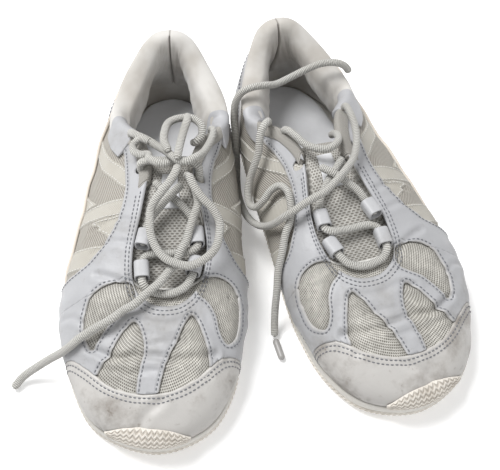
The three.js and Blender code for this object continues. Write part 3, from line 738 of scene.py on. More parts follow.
def cut(points, triangles, s):
    """Keeps the part where s > 0.  Also gives the new border as pairs of points."""
    inside = s > 0
    count = inside[triangles].sum(1)
    part = triangles[(count == 1) | (count == 2)]
    if not len(part):
        return points, triangles[count == 3], np.zeros((0, 2), int)
    single = inside[part].sum(1) == 1
    odd = np.where(single, inside[part].argmax(1), (~inside[part]).argmax(1))
    row = np.arange(len(part))
    a, b, c = (part[row, (odd + k) % 3] for k in range(3))
    pairs = np.sort(np.concatenate([np.stack([a, b], 1), np.stack([a, c], 1)]), axis=1)
    unique, index = np.unique(pairs, axis=0, return_inverse=True)
    index = index.reshape(-1)
    s0, s1 = s[unique[:, 0]], s[unique[:, 1]]
    f = (s0 / (s0 - s1))[:, None]
    new = points[unique[:, 0]] * (1 - f) + points[unique[:, 1]] * f
    e1 = len(points) + index[:len(part)]
    e2 = len(points) + index[len(part):]
    kept = [triangles[count == 3]]
    kept.append(np.stack([a, e1, e2], 1)[single])
    kept.append(np.stack([e1, b, c], 1)[~single])
    kept.append(np.stack([e1, c, e2], 1)[~single])
    border = np.where(single[:, None], np.stack([e1, e2], 1), np.stack([e2, e1], 1))
    return np.vstack([points, new]), np.concatenate(kept), border


def drop_unused(points, triangles):
    """Renumbers the points so that only those in a triangle are left."""
    used = np.unique(triangles)
    number = np.zeros(len(points), int)
    number[used] = np.arange(len(used))
    return points[used], number[triangles]


def rim_edges(triangles):
    """The edges that only one triangle has."""
    edges = np.concatenate([triangles[:, [0, 1]], triangles[:, [1, 2]], triangles[:, [2, 0]]])
    _, index, count = np.unique(np.sort(edges, axis=1), axis=0, return_index=True,
                                return_counts=True)
    return edges[index[count == 1]]


print("cutting ready")

# %% [markdown]
# ## The patterns
# These are the outlines a cutter would use: the toe seam, the eyestays, the wings beside
# the toes and the heel panel, in percent so that they follow the shoe's size.  The mesh
# windows and the eyelets are in millimetres.

# %% Outlines of the cut pieces
FAR = 90
BEYOND, BEHIND = 120, -20


def percent(points):
    """(t, w) in percent to (w, t) in millimetres."""
    p = np.asarray(points, float)
    return np.stack([p[:, 1] * BALL_WIDTH / 100, p[:, 0] * SHOE_LENGTH / 100], -1)


def side_percent(points):
    """(t, z) in percent to (t, z) in millimetres."""
    p = np.asarray(points, float)
    return np.stack([p[:, 0] * SHOE_LENGTH / 100, p[:, 1] * HEEL_HEIGHT / 100], -1)


TOE_SEAM = [
    [80.2, FAR], [80.8, 48], [83.6, 37], [87.4, 25], [89.6, 12], [90, -3],
    [88.2, -16], [85, -27], [81.4, -36], [79.8, -46], [79.4, -FAR],
]
OUTER_BORDER = [
    [18, 25], [24, 28.5], [31, 25.5], [38, 22.5], [45, 21], [51, 23.5], [56, 29], [60.5, 39],
    [63, 52], [64, FAR],
]
INNER_BORDER = [
    [18, -29], [25, -34], [31, -32.5], [38, -28.5], [45, -28.5], [51, -32], [56, -38],
    [60, -47], [61, -FAR],
]
WING_OUTER = [[71, FAR], [70, 50], [66.5, 24], [62, 0]]
WING_INNER = [[68, -FAR], [67, -46], [64.5, -27], [60, -6]]
WINDOWS = [
    [(14, 167), (22.7, 166.5), (31, 168.2), (36.4, 172.4), (38.6, 179), (39.4, 188),
     (36.6, 197), (33.6, 200.5), (30.6, 197.5), (27.6, 192), (22.5, 186), (15.5, 181),
     (11.5, 177), (11.8, 171)],
    [(11.1, 187.3), (17.9, 194.5), (23.7, 205.6), (29.5, 214), (26, 228), (11.2, 232),
     (7.2, 214.6), (5.3, 199.2)],
    [(-19.7, 183), (-11.8, 198.7), (-6.6, 211.4), (-5, 230), (-24, 227), (-30, 209),
     (-26.5, 194)],
    [(-21.5, 166), (-26, 162.5), (-34.1, 160.8), (-41, 162.5), (-44.7, 168), (-45.5, 183),
     (-43, 192), (-39.1, 195), (-35.5, 191), (-32.5, 181), (-28, 174.5), (-22.5, 171)],
]
EYELETS = {
    "outer": [(20, 76), (12.5, 101)],
    "inner": [(-26.5, 71.5), (-20.5, 81.5), (-21, 105)],
}
EYELET_RADIUS = 3.3
toe_line = smooth_line(percent(TOE_SEAM))
wing_outer, wing_inner = smooth_line(percent(WING_OUTER)), smooth_line(percent(WING_INNER))
toe_region = np.vstack([toe_line, percent([[BEYOND, -FAR], [BEYOND, FAR]])])
behind_toe = np.vstack([toe_line, percent([[BEHIND, -FAR], [BEHIND, FAR]])])
vamp_region = np.vstack([
    wing_outer, wing_inner[::-1], percent([[BEYOND, -FAR], [BEYOND, FAR]]),
])
outer_region = np.vstack([smooth_line(percent(OUTER_BORDER)), wing_outer, percent([[18, 0]])])
inner_region = np.vstack([smooth_line(percent(INNER_BORDER)), wing_inner, percent([[18, -5]])])
eyestay_rise = side_percent([
    [10, 64], [36, 44], [50, 24], [60, -10], [90, -10], [90, 130], [10, 130],
])
heel_region = side_percent([
    [-20, -10], [26, -10], [24, 25], [22, 42], [18.5, 54], [14, 62], [6, 72], [-20, 78],
])
counter_region = side_percent([[-20, -10], [27, -10], [22, 44], [8, 60], [-20, 66]])
windows = [smooth_line(w, closed=True) for w in WINDOWS]


def eyelet_distance(p, *labels):
    """Distance outside the eyelets of the outer eyestay, the inner one or both."""
    centres = [at for label in labels for at in EYELETS[label]]
    return least(*[np.hypot(p[:, 0] - w, p[:, 1] - t) - EYELET_RADIUS for w, t in centres])


def outside_windows(p):
    return least(*[-plan_distance(window, p) for window in windows])


print("windows:", len(windows), "eyelets:", sum(map(len, EYELETS.values())))

# %% [markdown]
# ## Layers of the upper
# Leather overlays lie on the cloth, stiffeners lie under it at the toe and the heel, and
# the lining is inside.  Each sheet is a grid over the surface, cut to its pattern, at its
# own depth.  Its cut edge is turned down, as a skived edge is, so that it catches the light.

# %% The sheet builder
AROUND_CELLS, UP_CELLS = 420, 46
SEAM_OPENING = 0.012
SKIVE = 0.7
SHORTEST_CHAIN = 6
CLEAR_OF_EDGE = 0.5
WRAP_HALF, WRAP_SHARE = 45, 0.8
HIDDEN_EDGE, STITCH_OVERRUN = 0.02, 0.3
LEVELS = np.linspace(0, COUNT, 600)
GIRTH = lengths_along(surface(LEVELS, 0.45))
stitch_lines = []


def layer_grid(start, high):
    """Points (a, v) once round the shoe from a station, and their triangles."""
    a = start + np.linspace(SEAM_OPENING, COUNT - SEAM_OPENING, AROUND_CELLS + 1)
    v = np.linspace(0, 1, UP_CELLS + 1)
    a, v = np.meshgrid(a, v, indexing="ij")
    if high is not None:
        v = high(a) * v
    quads = grid_faces(*a.shape)
    triangles = np.concatenate([quads[:, [0, 1, 2]], quads[:, [0, 2, 3]]])
    return np.stack([a.ravel(), v.ravel()], -1), triangles


def wrap_of(av):
    """Smooth coordinates for a cloth that is wrapped up the side and over."""
    p = surface(av[:, 0], av[:, 1])
    over = p[:, 2] + WRAP_SHARE * (WRAP_HALF - np.abs(p[:, 0]))
    return np.stack([p[:, 1], over, 0 * over], -1)


def cloth_of(av):
    """Millimetres round the shoe and up the wall."""
    along_mm = np.interp(av[:, 0] % COUNT, LEVELS, GIRTH)
    along_mm = np.minimum(along_mm, GIRTH[-1] - along_mm)
    return np.stack([along_mm, av[:, 1] * wall_height(av[:, 0]), 0 * along_mm], -1)


def border_lines(av, triangles, s):
    """The lines where s is zero, each a chain of (a, v) points."""
    points, _, border = cut(av, triangles, s)
    follow = dict(border.tolist())
    starts = set(follow) - set(follow.values())
    chains = []
    pending = dict(follow)
    for first in list(starts) + list(follow):
        if first not in pending:
            continue
        chain = [first]
        while chain[-1] in pending:
            chain.append(pending.pop(chain[-1]))
        if len(chain) > SHORTEST_CHAIN:
            chains.append(points[chain])
    return chains


def stretches(line, kept):
    """The stretches of a line that lie on the piece, clear of its cut edges."""
    on = kept > CLEAR_OF_EDGE
    turns = np.where(np.diff(on.astype(int)))[0] + 1
    for part, inside in zip(np.split(line, turns), np.split(on, turns)):
        if len(part) > SHORTEST_CHAIN and inside[0]:
            yield part


def sheet(name, keep, layer, recipe, start=0.0, high=None, extra=False, turned=SKIVE,
          face_inside=False, rows=(), thread=THREAD, shape=None, swell=None):
    """One layer of the upper, with its turned edge and its rows of stitches.

    keep says where the piece is cut, and shape which of its edges are on show.  An extra
    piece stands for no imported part.
    """
    outer, inner = layer
    av, triangles = layer_grid(start, high)
    where = inset(av[:, 0], av[:, 1], outer)
    s = keep(where)
    seen = s if shape is None else np.maximum(shape(where), HIDDEN_EDGE)
    for row in rows:
        for line in border_lines(av, triangles, np.minimum(seen - row, s + STITCH_OVERRUN)):
            parts = [line]
            if shape is not None:
                parts = stretches(line, keep(inset(line[:, 0], line[:, 1], outer)))
            stitch_lines.extend((name, part, outer, thread) for part in parts)
    lift = np.zeros(len(av)) if swell is None else swell(where)
    points, triangles, _ = cut(np.column_stack([av, seen, lift]), triangles, s)
    points, triangles = drop_unused(points, triangles)
    av, s, lift = points[:, :2], np.maximum(points[:, 2], 0), points[:, 3]
    q = np.clip(1 - s / turned, 0, 1)
    fall = turned * (1 - np.sqrt(1 - q * q * 0.98)) - lift
    front, back = (inner, outer) if face_inside else (outer, inner)
    fall = -fall if face_inside else fall
    body = inset(av[:, 0], av[:, 1], front + fall)
    rim = rim_edges(triangles)
    rim_points, place_of = np.unique(rim, return_inverse=True)
    place_of = place_of.reshape(rim.shape) + len(body)
    skirt = inset(av[rim_points, 0], av[rim_points, 1], back)
    quads = np.stack([rim[:, 1], rim[:, 0], place_of[:, 0], place_of[:, 1]], -1)
    if face_inside:
        triangles, quads = triangles[:, ::-1], quads[:, ::-1]
    coordinates = wrap_of if recipe.slot == "ribbed_cloth" else cloth_of
    add_pair(f"{name}_piece", np.vstack([body, skirt]), triangles.tolist() + quads.tolist(),
             recipe, replaces=None if extra else name,
             edge=np.concatenate([s, np.zeros(len(skirt))]),
             cloth=np.vstack([coordinates(av), coordinates(av[rim_points])]))
    return len(body) + len(skirt)


print("girth at mid height:", round(GIRTH[-1]), "mm")

# %% [markdown]
# ## Leather overlays
# The toe cap, the vamp overlay with its windows, the two eyestays and the heel panel carry
# the shoe's look.  On the heel's sides, the lower strip is leather too, below the piping.
# Only the edges on show are stitched, since an edge under another piece has no row.

# %% Leather overlays
OVERLAY = (0, OVERLAY_THICK)
TUCKED = (0.02, OVERLAY_THICK)


def stay_keep(region, label):
    return lambda p: least(plan_distance(region, p), side_distance(eyestay_rise, p),
                           outside_windows(p), eyelet_distance(p, label))


def stay_shape(border, corner):
    region = np.vstack([smooth_line(percent(border)), percent(corner)])
    return lambda p: least(plan_distance(region, p), outside_windows(p))


def heel_side(region, sign, stay):
    """Leather between the heel panel and the ankle, on one side of the heel seam."""
    return lambda p: least(side_distance(region, p), -side_distance(heel_region, p),
                           -plan_distance(stay, p), sign * p[:, 0])


PIPE = smooth_line([(44, 66), (50, 57), (55, 47), (63, 39.5), (76, 35), (90, 33.5), (104, 33),
                    (118, 31), (132, 27.5), (146, 23.5), (158, 18), (170, 12)])
behind_pipe = np.vstack([PIPE, [(175, -10), (-20, -10), (-20, 110), (44, 110)]])
behind_heel = np.vstack([
    smooth_line([(46, 110), (44, 62), (39, 50), (41, 34), (52, 22), (62, 8), (66, -10)]),
    [(-20, -10), (-20, 110)],
])
total = sheet("toe_cap", lambda p: plan_distance(toe_region, p), OVERLAY, TOE_LEATHER,
              rows=(2.0, 4.2))
total += sheet(
    "vamp_overlay",
    lambda p: least(plan_distance(vamp_region, p), plan_distance(behind_toe, p),
                    outside_windows(p)),
    OVERLAY, LEATHER, rows=(1.6,), shape=outside_windows,
)
for label, region, border, corner in (
    ("outer", outer_region, OUTER_BORDER, [[BEYOND, FAR], [BEYOND, -5], [-9, -5], [-9, 20]]),
    ("inner", inner_region, INNER_BORDER, [[BEYOND, -FAR], [BEYOND, 5], [-9, 5], [-9, -20]]),
):
    total += sheet(f"eyestay_{label}", stay_keep(region, label), OVERLAY, LEATHER,
                   rows=(1.6,), shape=stay_shape(border, corner))
for label, region, sign, stay in (("outer_heel_side", behind_pipe, 1, outer_region),
                                  ("inner_heel_side", behind_heel, -1, inner_region)):
    total += sheet(label, heel_side(region, sign, stay), TUCKED, LEATHER, start=TOE,
                   extra=True, rows=(2.6,), shape=lambda p, r=region: side_distance(r, p))
total += sheet("heel_panel", lambda p: side_distance(heel_region, p), OVERLAY, LEATHER,
               start=TOE, rows=(1.8, 4.0))
print("overlay points:", total, "stitched lines:", len(stitch_lines))

# %% [markdown]
# ## Cloth, bands, stiffeners and linings
# Mesh lies under the windows and swells out of them a little, as it does when it is pulled
# over a foot.  The ribbed sides have sewn bands.  The puff, the counter and the linings are
# hardly seen, but they close the shoe from inside, so they are modelled at their depths.

# %% Cloth, stiffeners and linings
CLOTH_DEPTH = OVERLAY_THICK + GAP
STIFF_DEPTH = CLOTH_DEPTH + CLOTH_THICK + GAP
LINING_DEPTH = STIFF_DEPTH + STIFFENER_THICK + GAP
CLOTH = (CLOTH_DEPTH, CLOTH_DEPTH + CLOTH_THICK)
BAND_LAYER = (1.12, CLOTH_DEPTH - 0.02)
STIFFENER = (STIFF_DEPTH, STIFF_DEPTH + STIFFENER_THICK)
INNER_LINING = (LINING_DEPTH, LINING_DEPTH + LINING_THICK)
COLLAR_START, COLLAR_END = 5.4, 4.6
CLOTH_SEAM = 159.0
LINING_SEAM = 34 * SHOE_LENGTH / 100
PUFF_START = 213
THROAT_BACK, MIDDLE_SHIFT = 125, 5
WINDOW_SWELL = 5
BANDS = [
    [(48, 30), (50, 33.5), (110, 65), (125, 66.6), (66, 32), (62, 28)],
    [(110, 20), (118, 68), (129, 66), (120, 20)],
    [(92, 26), (113, 45), (112, 26)],
    [(126, 44), (126, 64), (148, 56)],
    [(133, 15), (146, 60), (158, 56), (147, 12)],
]


def lining_top(a):
    """The lining stops under the collar's roll, and near the top edge elsewhere."""
    turn = ((a + COUNT / 2) % COUNT) - COUNT / 2
    beside = (turn < COLLAR_START + 0.7) & (turn > -COLLAR_END - 0.7)
    roll = COLLAR_MARGIN + 2 * COLLAR_HALF_HEIGHT - 3
    return np.where(beside, 1 - roll / wall_height(a), 0.97)


def nearly_full(a):
    return np.full(a.shape, 0.985)


def part_high(a):
    return np.full(a.shape, 0.9)


def inside_windows(p):
    return np.maximum(-outside_windows(p), 0)


def swollen_mesh(p):
    return np.clip(inside_windows(p) / WINDOW_SWELL, 0, 1) ** 0.6


def on_side(sign, p):
    """Distance from the middle, which lies on the inner side in front of the throat."""
    return sign * (p[:, 0] + np.where(p[:, 1] < THROAT_BACK, 0, MIDDLE_SHIFT))


def quarter_keep(label, sign):
    return lambda p: least(CLOTH_SEAM - GAP - p[:, 1], on_side(sign, p),
                           eyelet_distance(p, label))


def band_keep(sign, band):
    return lambda p: least(side_distance(band, p), on_side(sign, p))


sheet("vamp_cloth", lambda p: p[:, 1] - CLOTH_SEAM, CLOTH, MESH, high=nearly_full,
      shape=inside_windows, swell=swollen_mesh)
HALVES = (("outer", 1), ("inner", -1))
for label, sign in HALVES:
    sheet(f"quarter_{label}", quarter_keep(label, sign), CLOTH, RIBBED, high=nearly_full)
for number, band in enumerate(BANDS):
    for label, sign in HALVES:
        sheet(f"{label}_band_{number}", band_keep(sign, band), BAND_LAYER, BAND, extra=True,
              high=nearly_full, turned=0.2, rows=(1.0,), thread=PALE_THREAD)
sheet("toe_puff", lambda p: p[:, 1] - PUFF_START, STIFFENER, STIFF, high=part_high)
sheet("heel_counter", lambda p: side_distance(counter_region, p), STIFFENER, STIFF,
      start=TOE, high=part_high)
sheet("vamp_lining",
      lambda p: least(p[:, 1] - LINING_SEAM - GAP, eyelet_distance(p, "outer", "inner")),
      INNER_LINING, LINING, high=lining_top, face_inside=True)
sheet("quarter_lining",
      lambda p: least(LINING_SEAM - p[:, 1], eyelet_distance(p, "outer", "inner")),
      INNER_LINING, LINING, start=TOE, high=lining_top, face_inside=True)
print("lining lies", round(LINING_DEPTH, 1), "mm deep; bands:", 2 * len(BANDS))

# %% [markdown]
# ## Stitching
# Each row of stitches follows a cut edge at a fixed distance.  A stitch is a short thread,
# sunk a little into the leather, with a space before the next one.  They are real spindles
# of thread, since a row of dark dashes in a material would look painted on.

# %% Stitches
STITCH_LONG, STITCH_PITCH, STITCH_RADIUS, STITCH_SUNK = 1.7, 2.5, 0.32, 0.12
STITCH_SHAPE = np.array([0.35, 0.9, 1.0, 0.9, 0.35])
STITCH_SIDES = 6
STITCH_POINTS = len(STITCH_SHAPE) * STITCH_SIDES
THROAT_FIRST, THROAT_LAST, THROAT_ROWS = 7.5, 16.7, (1.9, 3.9)
throat_a = np.linspace(THROAT_FIRST, THROAT_LAST, 400)
for row in THROAT_ROWS:
    throat_line = np.stack([throat_a, 1 - row / wall_height(throat_a)], -1)
    stitch_lines.append(("throat", throat_line, 0, THREAD))


def interpolated(at, way, points):
    return np.stack([np.interp(at, way, points[:, k]) for k in range(3)], -1)


def stitches(line, depth):
    """Little spindles along a line of (a, v) points."""
    centre = inset(line[:, 0], line[:, 1], depth - STITCH_SUNK)
    way = lengths_along(centre)
    count = int(way[-1] / STITCH_PITCH)
    if count < 2:
        return None
    starts = (np.arange(count) + 0.5) * way[-1] / count
    shares = np.linspace(-0.5, 0.5, len(STITCH_SHAPE))
    at = starts[:, None] + shares[None, :] * STITCH_LONG
    mid = interpolated(at, way, centre)
    up = unit(interpolated(at, way, surface_normal(line[:, 0], line[:, 1])))
    out = unit(np.cross(unit(mid[:, -1:] - mid[:, :1]), up))
    angle = np.linspace(0, TURN, STITCH_SIDES, endpoint=False)
    ring = (out[:, :, None] * np.cos(angle)[:, None] * 1.15
            + up[:, :, None] * np.sin(angle)[:, None])
    points = mid[:, :, None] + ring * STITCH_SHAPE[None, :, None, None] * STITCH_RADIUS
    faces = grid_faces(len(STITCH_SHAPE), STITCH_SIDES, wrap_columns=True)
    block = np.arange(count)[:, None, None] * STITCH_POINTS
    return points.reshape(-1, 3), (faces[None] + block).reshape(-1, 4)


gathered = {}
for name, line, depth, recipe in stitch_lines:
    made = stitches(line, depth)
    if made is not None:
        gathered.setdefault((name, recipe.material.name), [recipe, []])[1].append(made)
stitch_count = 0
for (name, _), (recipe, parts) in gathered.items():
    sizes = [len(p) for p, _ in parts]
    offsets = np.cumsum([0] + sizes[:-1])
    stitch_count += sum(sizes) // STITCH_POINTS
    add_pair(f"{name}_stitches", np.vstack([p for p, _ in parts]),
             np.vstack([f + offset for (_, f), offset in zip(parts, offsets)]), recipe)
print("stitches on each shoe:", stitch_count)

# %% [markdown]
# ## Soles
# The outsole is cream rubber with a rope pattern round its side.  The foam midsole sits on
# it, and the board and the loose insole lie inside.  All four are lofted: rings of one
# outline are stacked and joined, so they fit the lower edge of the upper by themselves.

# %% Soles and insole
ROPE_PITCH, ROPE_SLANT = 3.1, 1.2
CAP_SHARES = (0.12, 0.3, 0.55, 0.8, 1.0)
SPINE_BACK, SPINE_FRONT = 36, 214
SPINE_T, SPINE_W = (10, 120, 240), (0, 0, -2)


def cap(edge_ring, height_at):
    """Rings that close a slab, from its edge in to a spine down its middle."""
    spine = edge_ring.copy()
    spine[:, 0] = np.interp(spine[:, 1], SPINE_T, SPINE_W)
    spine[:, 1] = np.clip(spine[:, 1], SPINE_BACK, SPINE_FRONT)
    made = []
    for share in CAP_SHARES:
        ring = edge_ring * (1 - share) + spine * share
        ring[:, 2] = height_at(ring[:, 1])
        made.append(ring)
    return made


def loft(name, profile, bottom, top, recipe, body="shoe", grow=0.0, rope=0.0):
    """A slab round the sole's outline.  profile holds (outwards mm, share of height)."""
    count = 1500 if rope else 400
    arc = lengths_along(outline(grow, count)[:, :2])
    rings = []
    for out, share in profile:
        ring = outline(grow + out, count)
        z0, z1 = bottom(ring[:, 1]), top(ring[:, 1])
        ring[:, 2] = z0 + (z1 - z0) * share
        if rope:
            wave = np.sin(TURN * (arc / ROPE_PITCH + share * ROPE_SLANT)) * np.sin(np.pi * share)
            bulge = outline(grow + out + 1, count) - outline(grow + out, count)
            ring[:, :2] += bulge[:, :2] * (rope * wave)[:, None]
        rings.append(ring)
    rings = np.array(cap(rings[0], bottom)[::-1] + rings + cap(rings[-1], top))
    cloth = np.zeros(rings.shape)
    cloth[..., 0] = arc
    cloth[..., 1] = rings[..., 2]
    groove = np.zeros(rings.shape[:2])
    if rope:
        shares = np.array([share for _, share in profile])[:, None]
        ridge = np.sin(TURN * (arc[None] / ROPE_PITCH + shares * ROPE_SLANT))
        wall_rows = slice(len(CAP_SHARES), -len(CAP_SHARES))
        groove[wall_rows] = np.clip(-ridge, 0, 1) * np.sin(np.pi * shares)
    add_pair(f"{name}_piece", rings, grid_faces(len(rings), count, wrap_columns=True), recipe,
             body=body, replaces=name, edge=UNCUT, cloth=cloth, groove=groove)


def outsole_top(t):
    return spring_at(t) + OUTSOLE_THICK


def board_at(t):
    return sole_top_at(t) + GAP


def sock_at(t):
    return board_at(t) + BOARD_THICK + GAP


loft("outsole", [(-1.2, 0.0), (-0.5, 0.06), (-0.1, 0.2), (0, 0.35), (0, 0.5), (0, 0.65),
                 (-0.1, 0.8), (-0.4, 0.94), (-1.0, 1.0)],
     spring_at, outsole_top, RUBBER, grow=SOLE_EDGE, rope=0.42)
loft("midsole", [(-0.6, 0), (-0.2, 0.08), (0, 0.3), (0, 0.6), (-0.1, 0.85), (-0.6, 1)],
     lambda t: outsole_top(t) + 0.05, sole_top_at, FOAM, grow=SOLE_EDGE, rope=0.12)
loft("insole_board", [(0, 0), (0, 1)], board_at, lambda t: board_at(t) + BOARD_THICK, BOARD,
     grow=-INSOLE_INSET)
loft("sockliner", [(-1, 0), (-0.2, 0.25), (0, 0.6), (-0.5, 0.9), (-1.6, 1)], sock_at,
     lambda t: sock_at(t) + SOCK_THICK, SOCK, body="insole", grow=-INSOLE_INSET)
print("top of the insole at the heel:", round(float(sock_at(0.0)) + SOCK_THICK, 1), "mm")

# %% [markdown]
# ## Toe bumper
# The rubber climbs over the front of the toe as a guard, with zigzag grooves.  It is a grid
# laid on the toe's surface and lifted, thin at its border, so it follows the toe exactly.

# %% Toe bumper
BUMPER_HALF, BUMPER_TOP, BUMPER_THICK, BUMPER_SIDE = 0.74, 0.27, 1.9, 0.1
BUMPER_TAPER, TAPER_POWER = 0.72, 2.6
BORDER_X, BORDER_Y = 0.12, 0.14
ZIGZAGS, ZIGZAG_TALL, GROOVES, GROOVE_DEEP = 7.5, 1.3, 4.5, 0.45


def bumper():
    x, y = np.meshgrid(np.linspace(-1, 1, 261), np.linspace(0, 1, 65), indexing="ij")
    a = TOE - BUMPER_SIDE + x * BUMPER_HALF
    v = 0.01 + (BUMPER_TOP * (1 - BUMPER_TAPER * np.abs(x) ** TAPER_POWER) - 0.01) * y
    border = np.minimum(np.minimum(1 - np.abs(x), BORDER_X) / BORDER_X,
                        np.minimum(np.minimum(y, 1 - y), BORDER_Y) / BORDER_Y)
    swell = np.sqrt(np.clip(1 - (1 - border) ** 2, 0, 1))
    chevron = np.abs(((x * ZIGZAGS) % 1) - 0.5) * ZIGZAG_TALL
    wave = np.clip(0.5 + 0.9 * np.sin(TURN * (y * GROOVES + chevron)), 0, 1)
    lift = GAP + (BUMPER_THICK - GAP) * swell - GROOVE_DEEP * wave * swell
    add_pair("toe_bumper_piece", inset(a, v, -lift), grid_faces(*x.shape), RUBBER,
             replaces="toe_bumper", edge=UNCUT, cloth=np.stack([x * 30, y * 14, 0 * x], -1),
             groove=wave * swell)
    return lift.max()


print("bumper stands out by", round(bumper(), 2), "mm")

# %% [markdown]
# ## Padded collar
# Foam under brushed cloth rolls over the top of the wall round the ankle.  It is fullest
# at the heel, with soft folds where the foot has pressed it, and a seam at its middle.  A
# cross-section is swept along the top edge and swollen by a sum, which holds still better
# than a cloth simulation and gives the same folds each time.

# %% Collar
COLLAR_SECTION = [
    (5, -0.3), (2.6, -0.55), (0.6, -0.65), (-1.0, 0.3), (-1.8, 2.0), (-2.1, 4.0), (-1.7, 6.0),
    (-0.4, 8.0), (2, 9.6), (5, 10.8), (9, 11.8), (14, 12.5), (20, 12.8), (27, 12.2), (34, 10.8),
    (41, 8.9), (47, 7.0), (52, 5.1), (50, 4.9), (34, 4.7), (14, 4.7), (6, 4.4), (4, 3.8),
]
ROLL_CENTRE = (3.0, 2.4)
FOLDED_UNDER = 5
SQUEEZED_BELOW, LOW_WALL, WALL_SPAN = 6, 22, 45
END_SHARE = 0.03
FULLEST_AT, FOLDS_AT, FOLD_HIGH = 2.7, 4.1, 1.3
SEAM_DEEP, SEAM_HALF, SEAM_ZONE = 2.2, 0.07, 0.35


def rolled(section, a, fullness=None):
    """A closed band over the top edge.  section holds (down the wall, depth) in mm."""
    down, depth = smooth_line(section, closed=True, step=0.9).T
    a, down = np.meshgrid(a, down, indexing="ij")
    depth = np.broadcast_to(depth, a.shape)
    room = np.clip((wall_height(a[:, 0]) - LOW_WALL) / WALL_SPAN, 0.4, 1)[:, None]
    squeezed = SQUEEZED_BELOW + (down - SQUEEZED_BELOW) * room
    down = np.where(down > SQUEEZED_BELOW, squeezed, down)
    if fullness is not None:
        depth = fullness(a, down, depth)
    count = len(a)
    near = np.minimum(np.arange(count), np.arange(count)[::-1]) / (END_SHARE * count)
    closing = np.sqrt(np.clip(1 - (1 - np.clip(near, 0, 1)) ** 2, 0.0025, 1))[:, None]
    down = ROLL_CENTRE[0] + (down - ROLL_CENTRE[0]) * closing
    depth = ROLL_CENTRE[1] + (depth - ROLL_CENTRE[1]) * closing
    v = 1 - down / wall_height(a[:, 0])[:, None]
    over = np.maximum(v - 1, 0)[..., None]
    flat = np.minimum(v, 1)
    climb = unit(surface(a, 1.0) - surface(a, 0.97)) * wall_height(a[:, 0])[:, None, None]
    return surface(a, flat) + climb * over - surface_normal(a, flat) * depth[..., None], a, down


def collar_fullness(a, down, depth):
    """Swells the inner face of the roll, with folds at the front and a seam at the heel."""
    away = np.abs(a)
    full = 0.8 + 0.95 * np.exp(-((away - FULLEST_AT) / 1.4) ** 2)
    low = np.clip(down / 12, 0, 1)
    near_folds = np.exp(-((away - FOLDS_AT) / 0.7) ** 2)
    folds = (FOLD_HIGH * np.sin(away * 13 + down * 0.06) * near_folds
             + 0.35 * np.sin(a * 5.3 + down * 0.15) + 0.2 * np.sin(a * 17 - down * 0.3))
    seam = -SEAM_DEEP * np.exp(-(a / SEAM_HALF) ** 2)
    past = depth - FOLDED_UNDER
    swollen = FOLDED_UNDER + past * full + (folds * low + seam) * np.clip(past / 3, 0, 1)
    return np.where(past > 0, swollen, depth)


def collar():
    """The padding, with finer cells beside the heel seam."""
    heel = np.linspace(-SEAM_ZONE, SEAM_ZONE, 41)[1:-1]
    a = np.concatenate([np.linspace(-COLLAR_END, -SEAM_ZONE, 121), heel,
                        np.linspace(SEAM_ZONE, COLLAR_START, 131)])[::-1]
    p, a, _ = rolled(COLLAR_SECTION, a, collar_fullness)
    return add_pair("collar_piece", p, grid_faces(*a.shape, wrap_columns=True), LINING,
                    replaces="collar_padding", edge=np.abs(a) * 17,
                    cloth=np.stack([a * 20, 0 * a, 0 * a], -1))


for piece in collar():
    print(piece.name, "points:", len(piece.data.vertices))

# %% [markdown]
# ## Ankle flaps and edge binding
# The eyestay's leather is carried back over the front end of the padding.  Between there
# and the throat a ribbed tape is folded over the raw edge.  Both are swept with the same
# function as the collar, so they sit on it without gaps.

# %% Ankle flaps and binding
FLAP_SECTION = [
    (9, -0.35), (5, -0.75), (2.6, -1.0), (0.6, -1.15), (-1.5, 0.1), (-2.4, 2), (-2.7, 4),
    (-2.3, 6.2), (-0.9, 8.6), (1.6, 10.0), (4.5, 10.9), (7, 11.4), (9.4, 11.7), (9.8, 10.9),
    (7, 10), (2, 8), (0, 4), (1, 1.2), (5, 0.2), (8.6, 0.3),
]
BINDING_SECTION = [
    (3.4, -0.15), (3.2, -0.7), (1, -0.8), (-0.7, -0.2), (-1.3, 1.5), (-1.2, 3.4), (-0.2, 4.9),
    (2, 5.4), (6, 5.5), (6, 4.9), (2, 4.5), (0.3, 3), (0, 1.5), (0.6, 0.1),
]


def ankle_flap(name, first, last):
    p, a, down = rolled(FLAP_SECTION, np.linspace(first, last, 70), collar_fullness)
    add_pair(name, p, grid_faces(*a.shape, wrap_columns=True), LEATHER, edge=UNCUT,
             cloth=np.stack([a * 20, down + 30, 0 * a], -1))


def binding(name, first, last):
    p, a, down = rolled(BINDING_SECTION, np.linspace(first, last, 120))
    way = np.broadcast_to(lengths_along(top_edge(a[:, 0]))[:, None], a.shape)
    add_pair(name, p, grid_faces(*a.shape, wrap_columns=True), BINDING,
             cloth=np.stack([way, down, 0 * a], -1))
    return way[-1, 0]


ankle_flap("outer_ankle_flap", 5.75, 4.35)
ankle_flap("inner_ankle_flap", -3.75, -5.0)
for label, first, last in (("outer", 7.4, 5.1), ("inner", 19.6, 17.0)):
    print(label, "binding:", round(binding(f"{label}_binding", first, last)), "mm")

# %% [markdown]
# ## Piping
# A thin cord edges the lower leather on the outer side.  It is a tube along a path, and
# the same tube serves the laces later.  The path is found by asking the surface where it
# passes each point of the drawn line.

# %% Tubes and piping
def sweep_frame(points):
    """A side and an up vector at each point of a path, without twisting."""
    forward = unit(np.gradient(points, axis=0))
    side = np.zeros_like(forward)
    guide = np.array([0.0, 0.0, 1.0])
    if abs(forward[0] @ guide) > 0.9:
        guide = np.array([1.0, 0.0, 0.0])
    side[0] = unit(np.cross(forward[0], guide))
    for i in range(1, len(points)):
        side[i] = unit(side[i - 1] - forward[i] * (side[i - 1] @ forward[i]))
    return side, np.cross(side, forward)


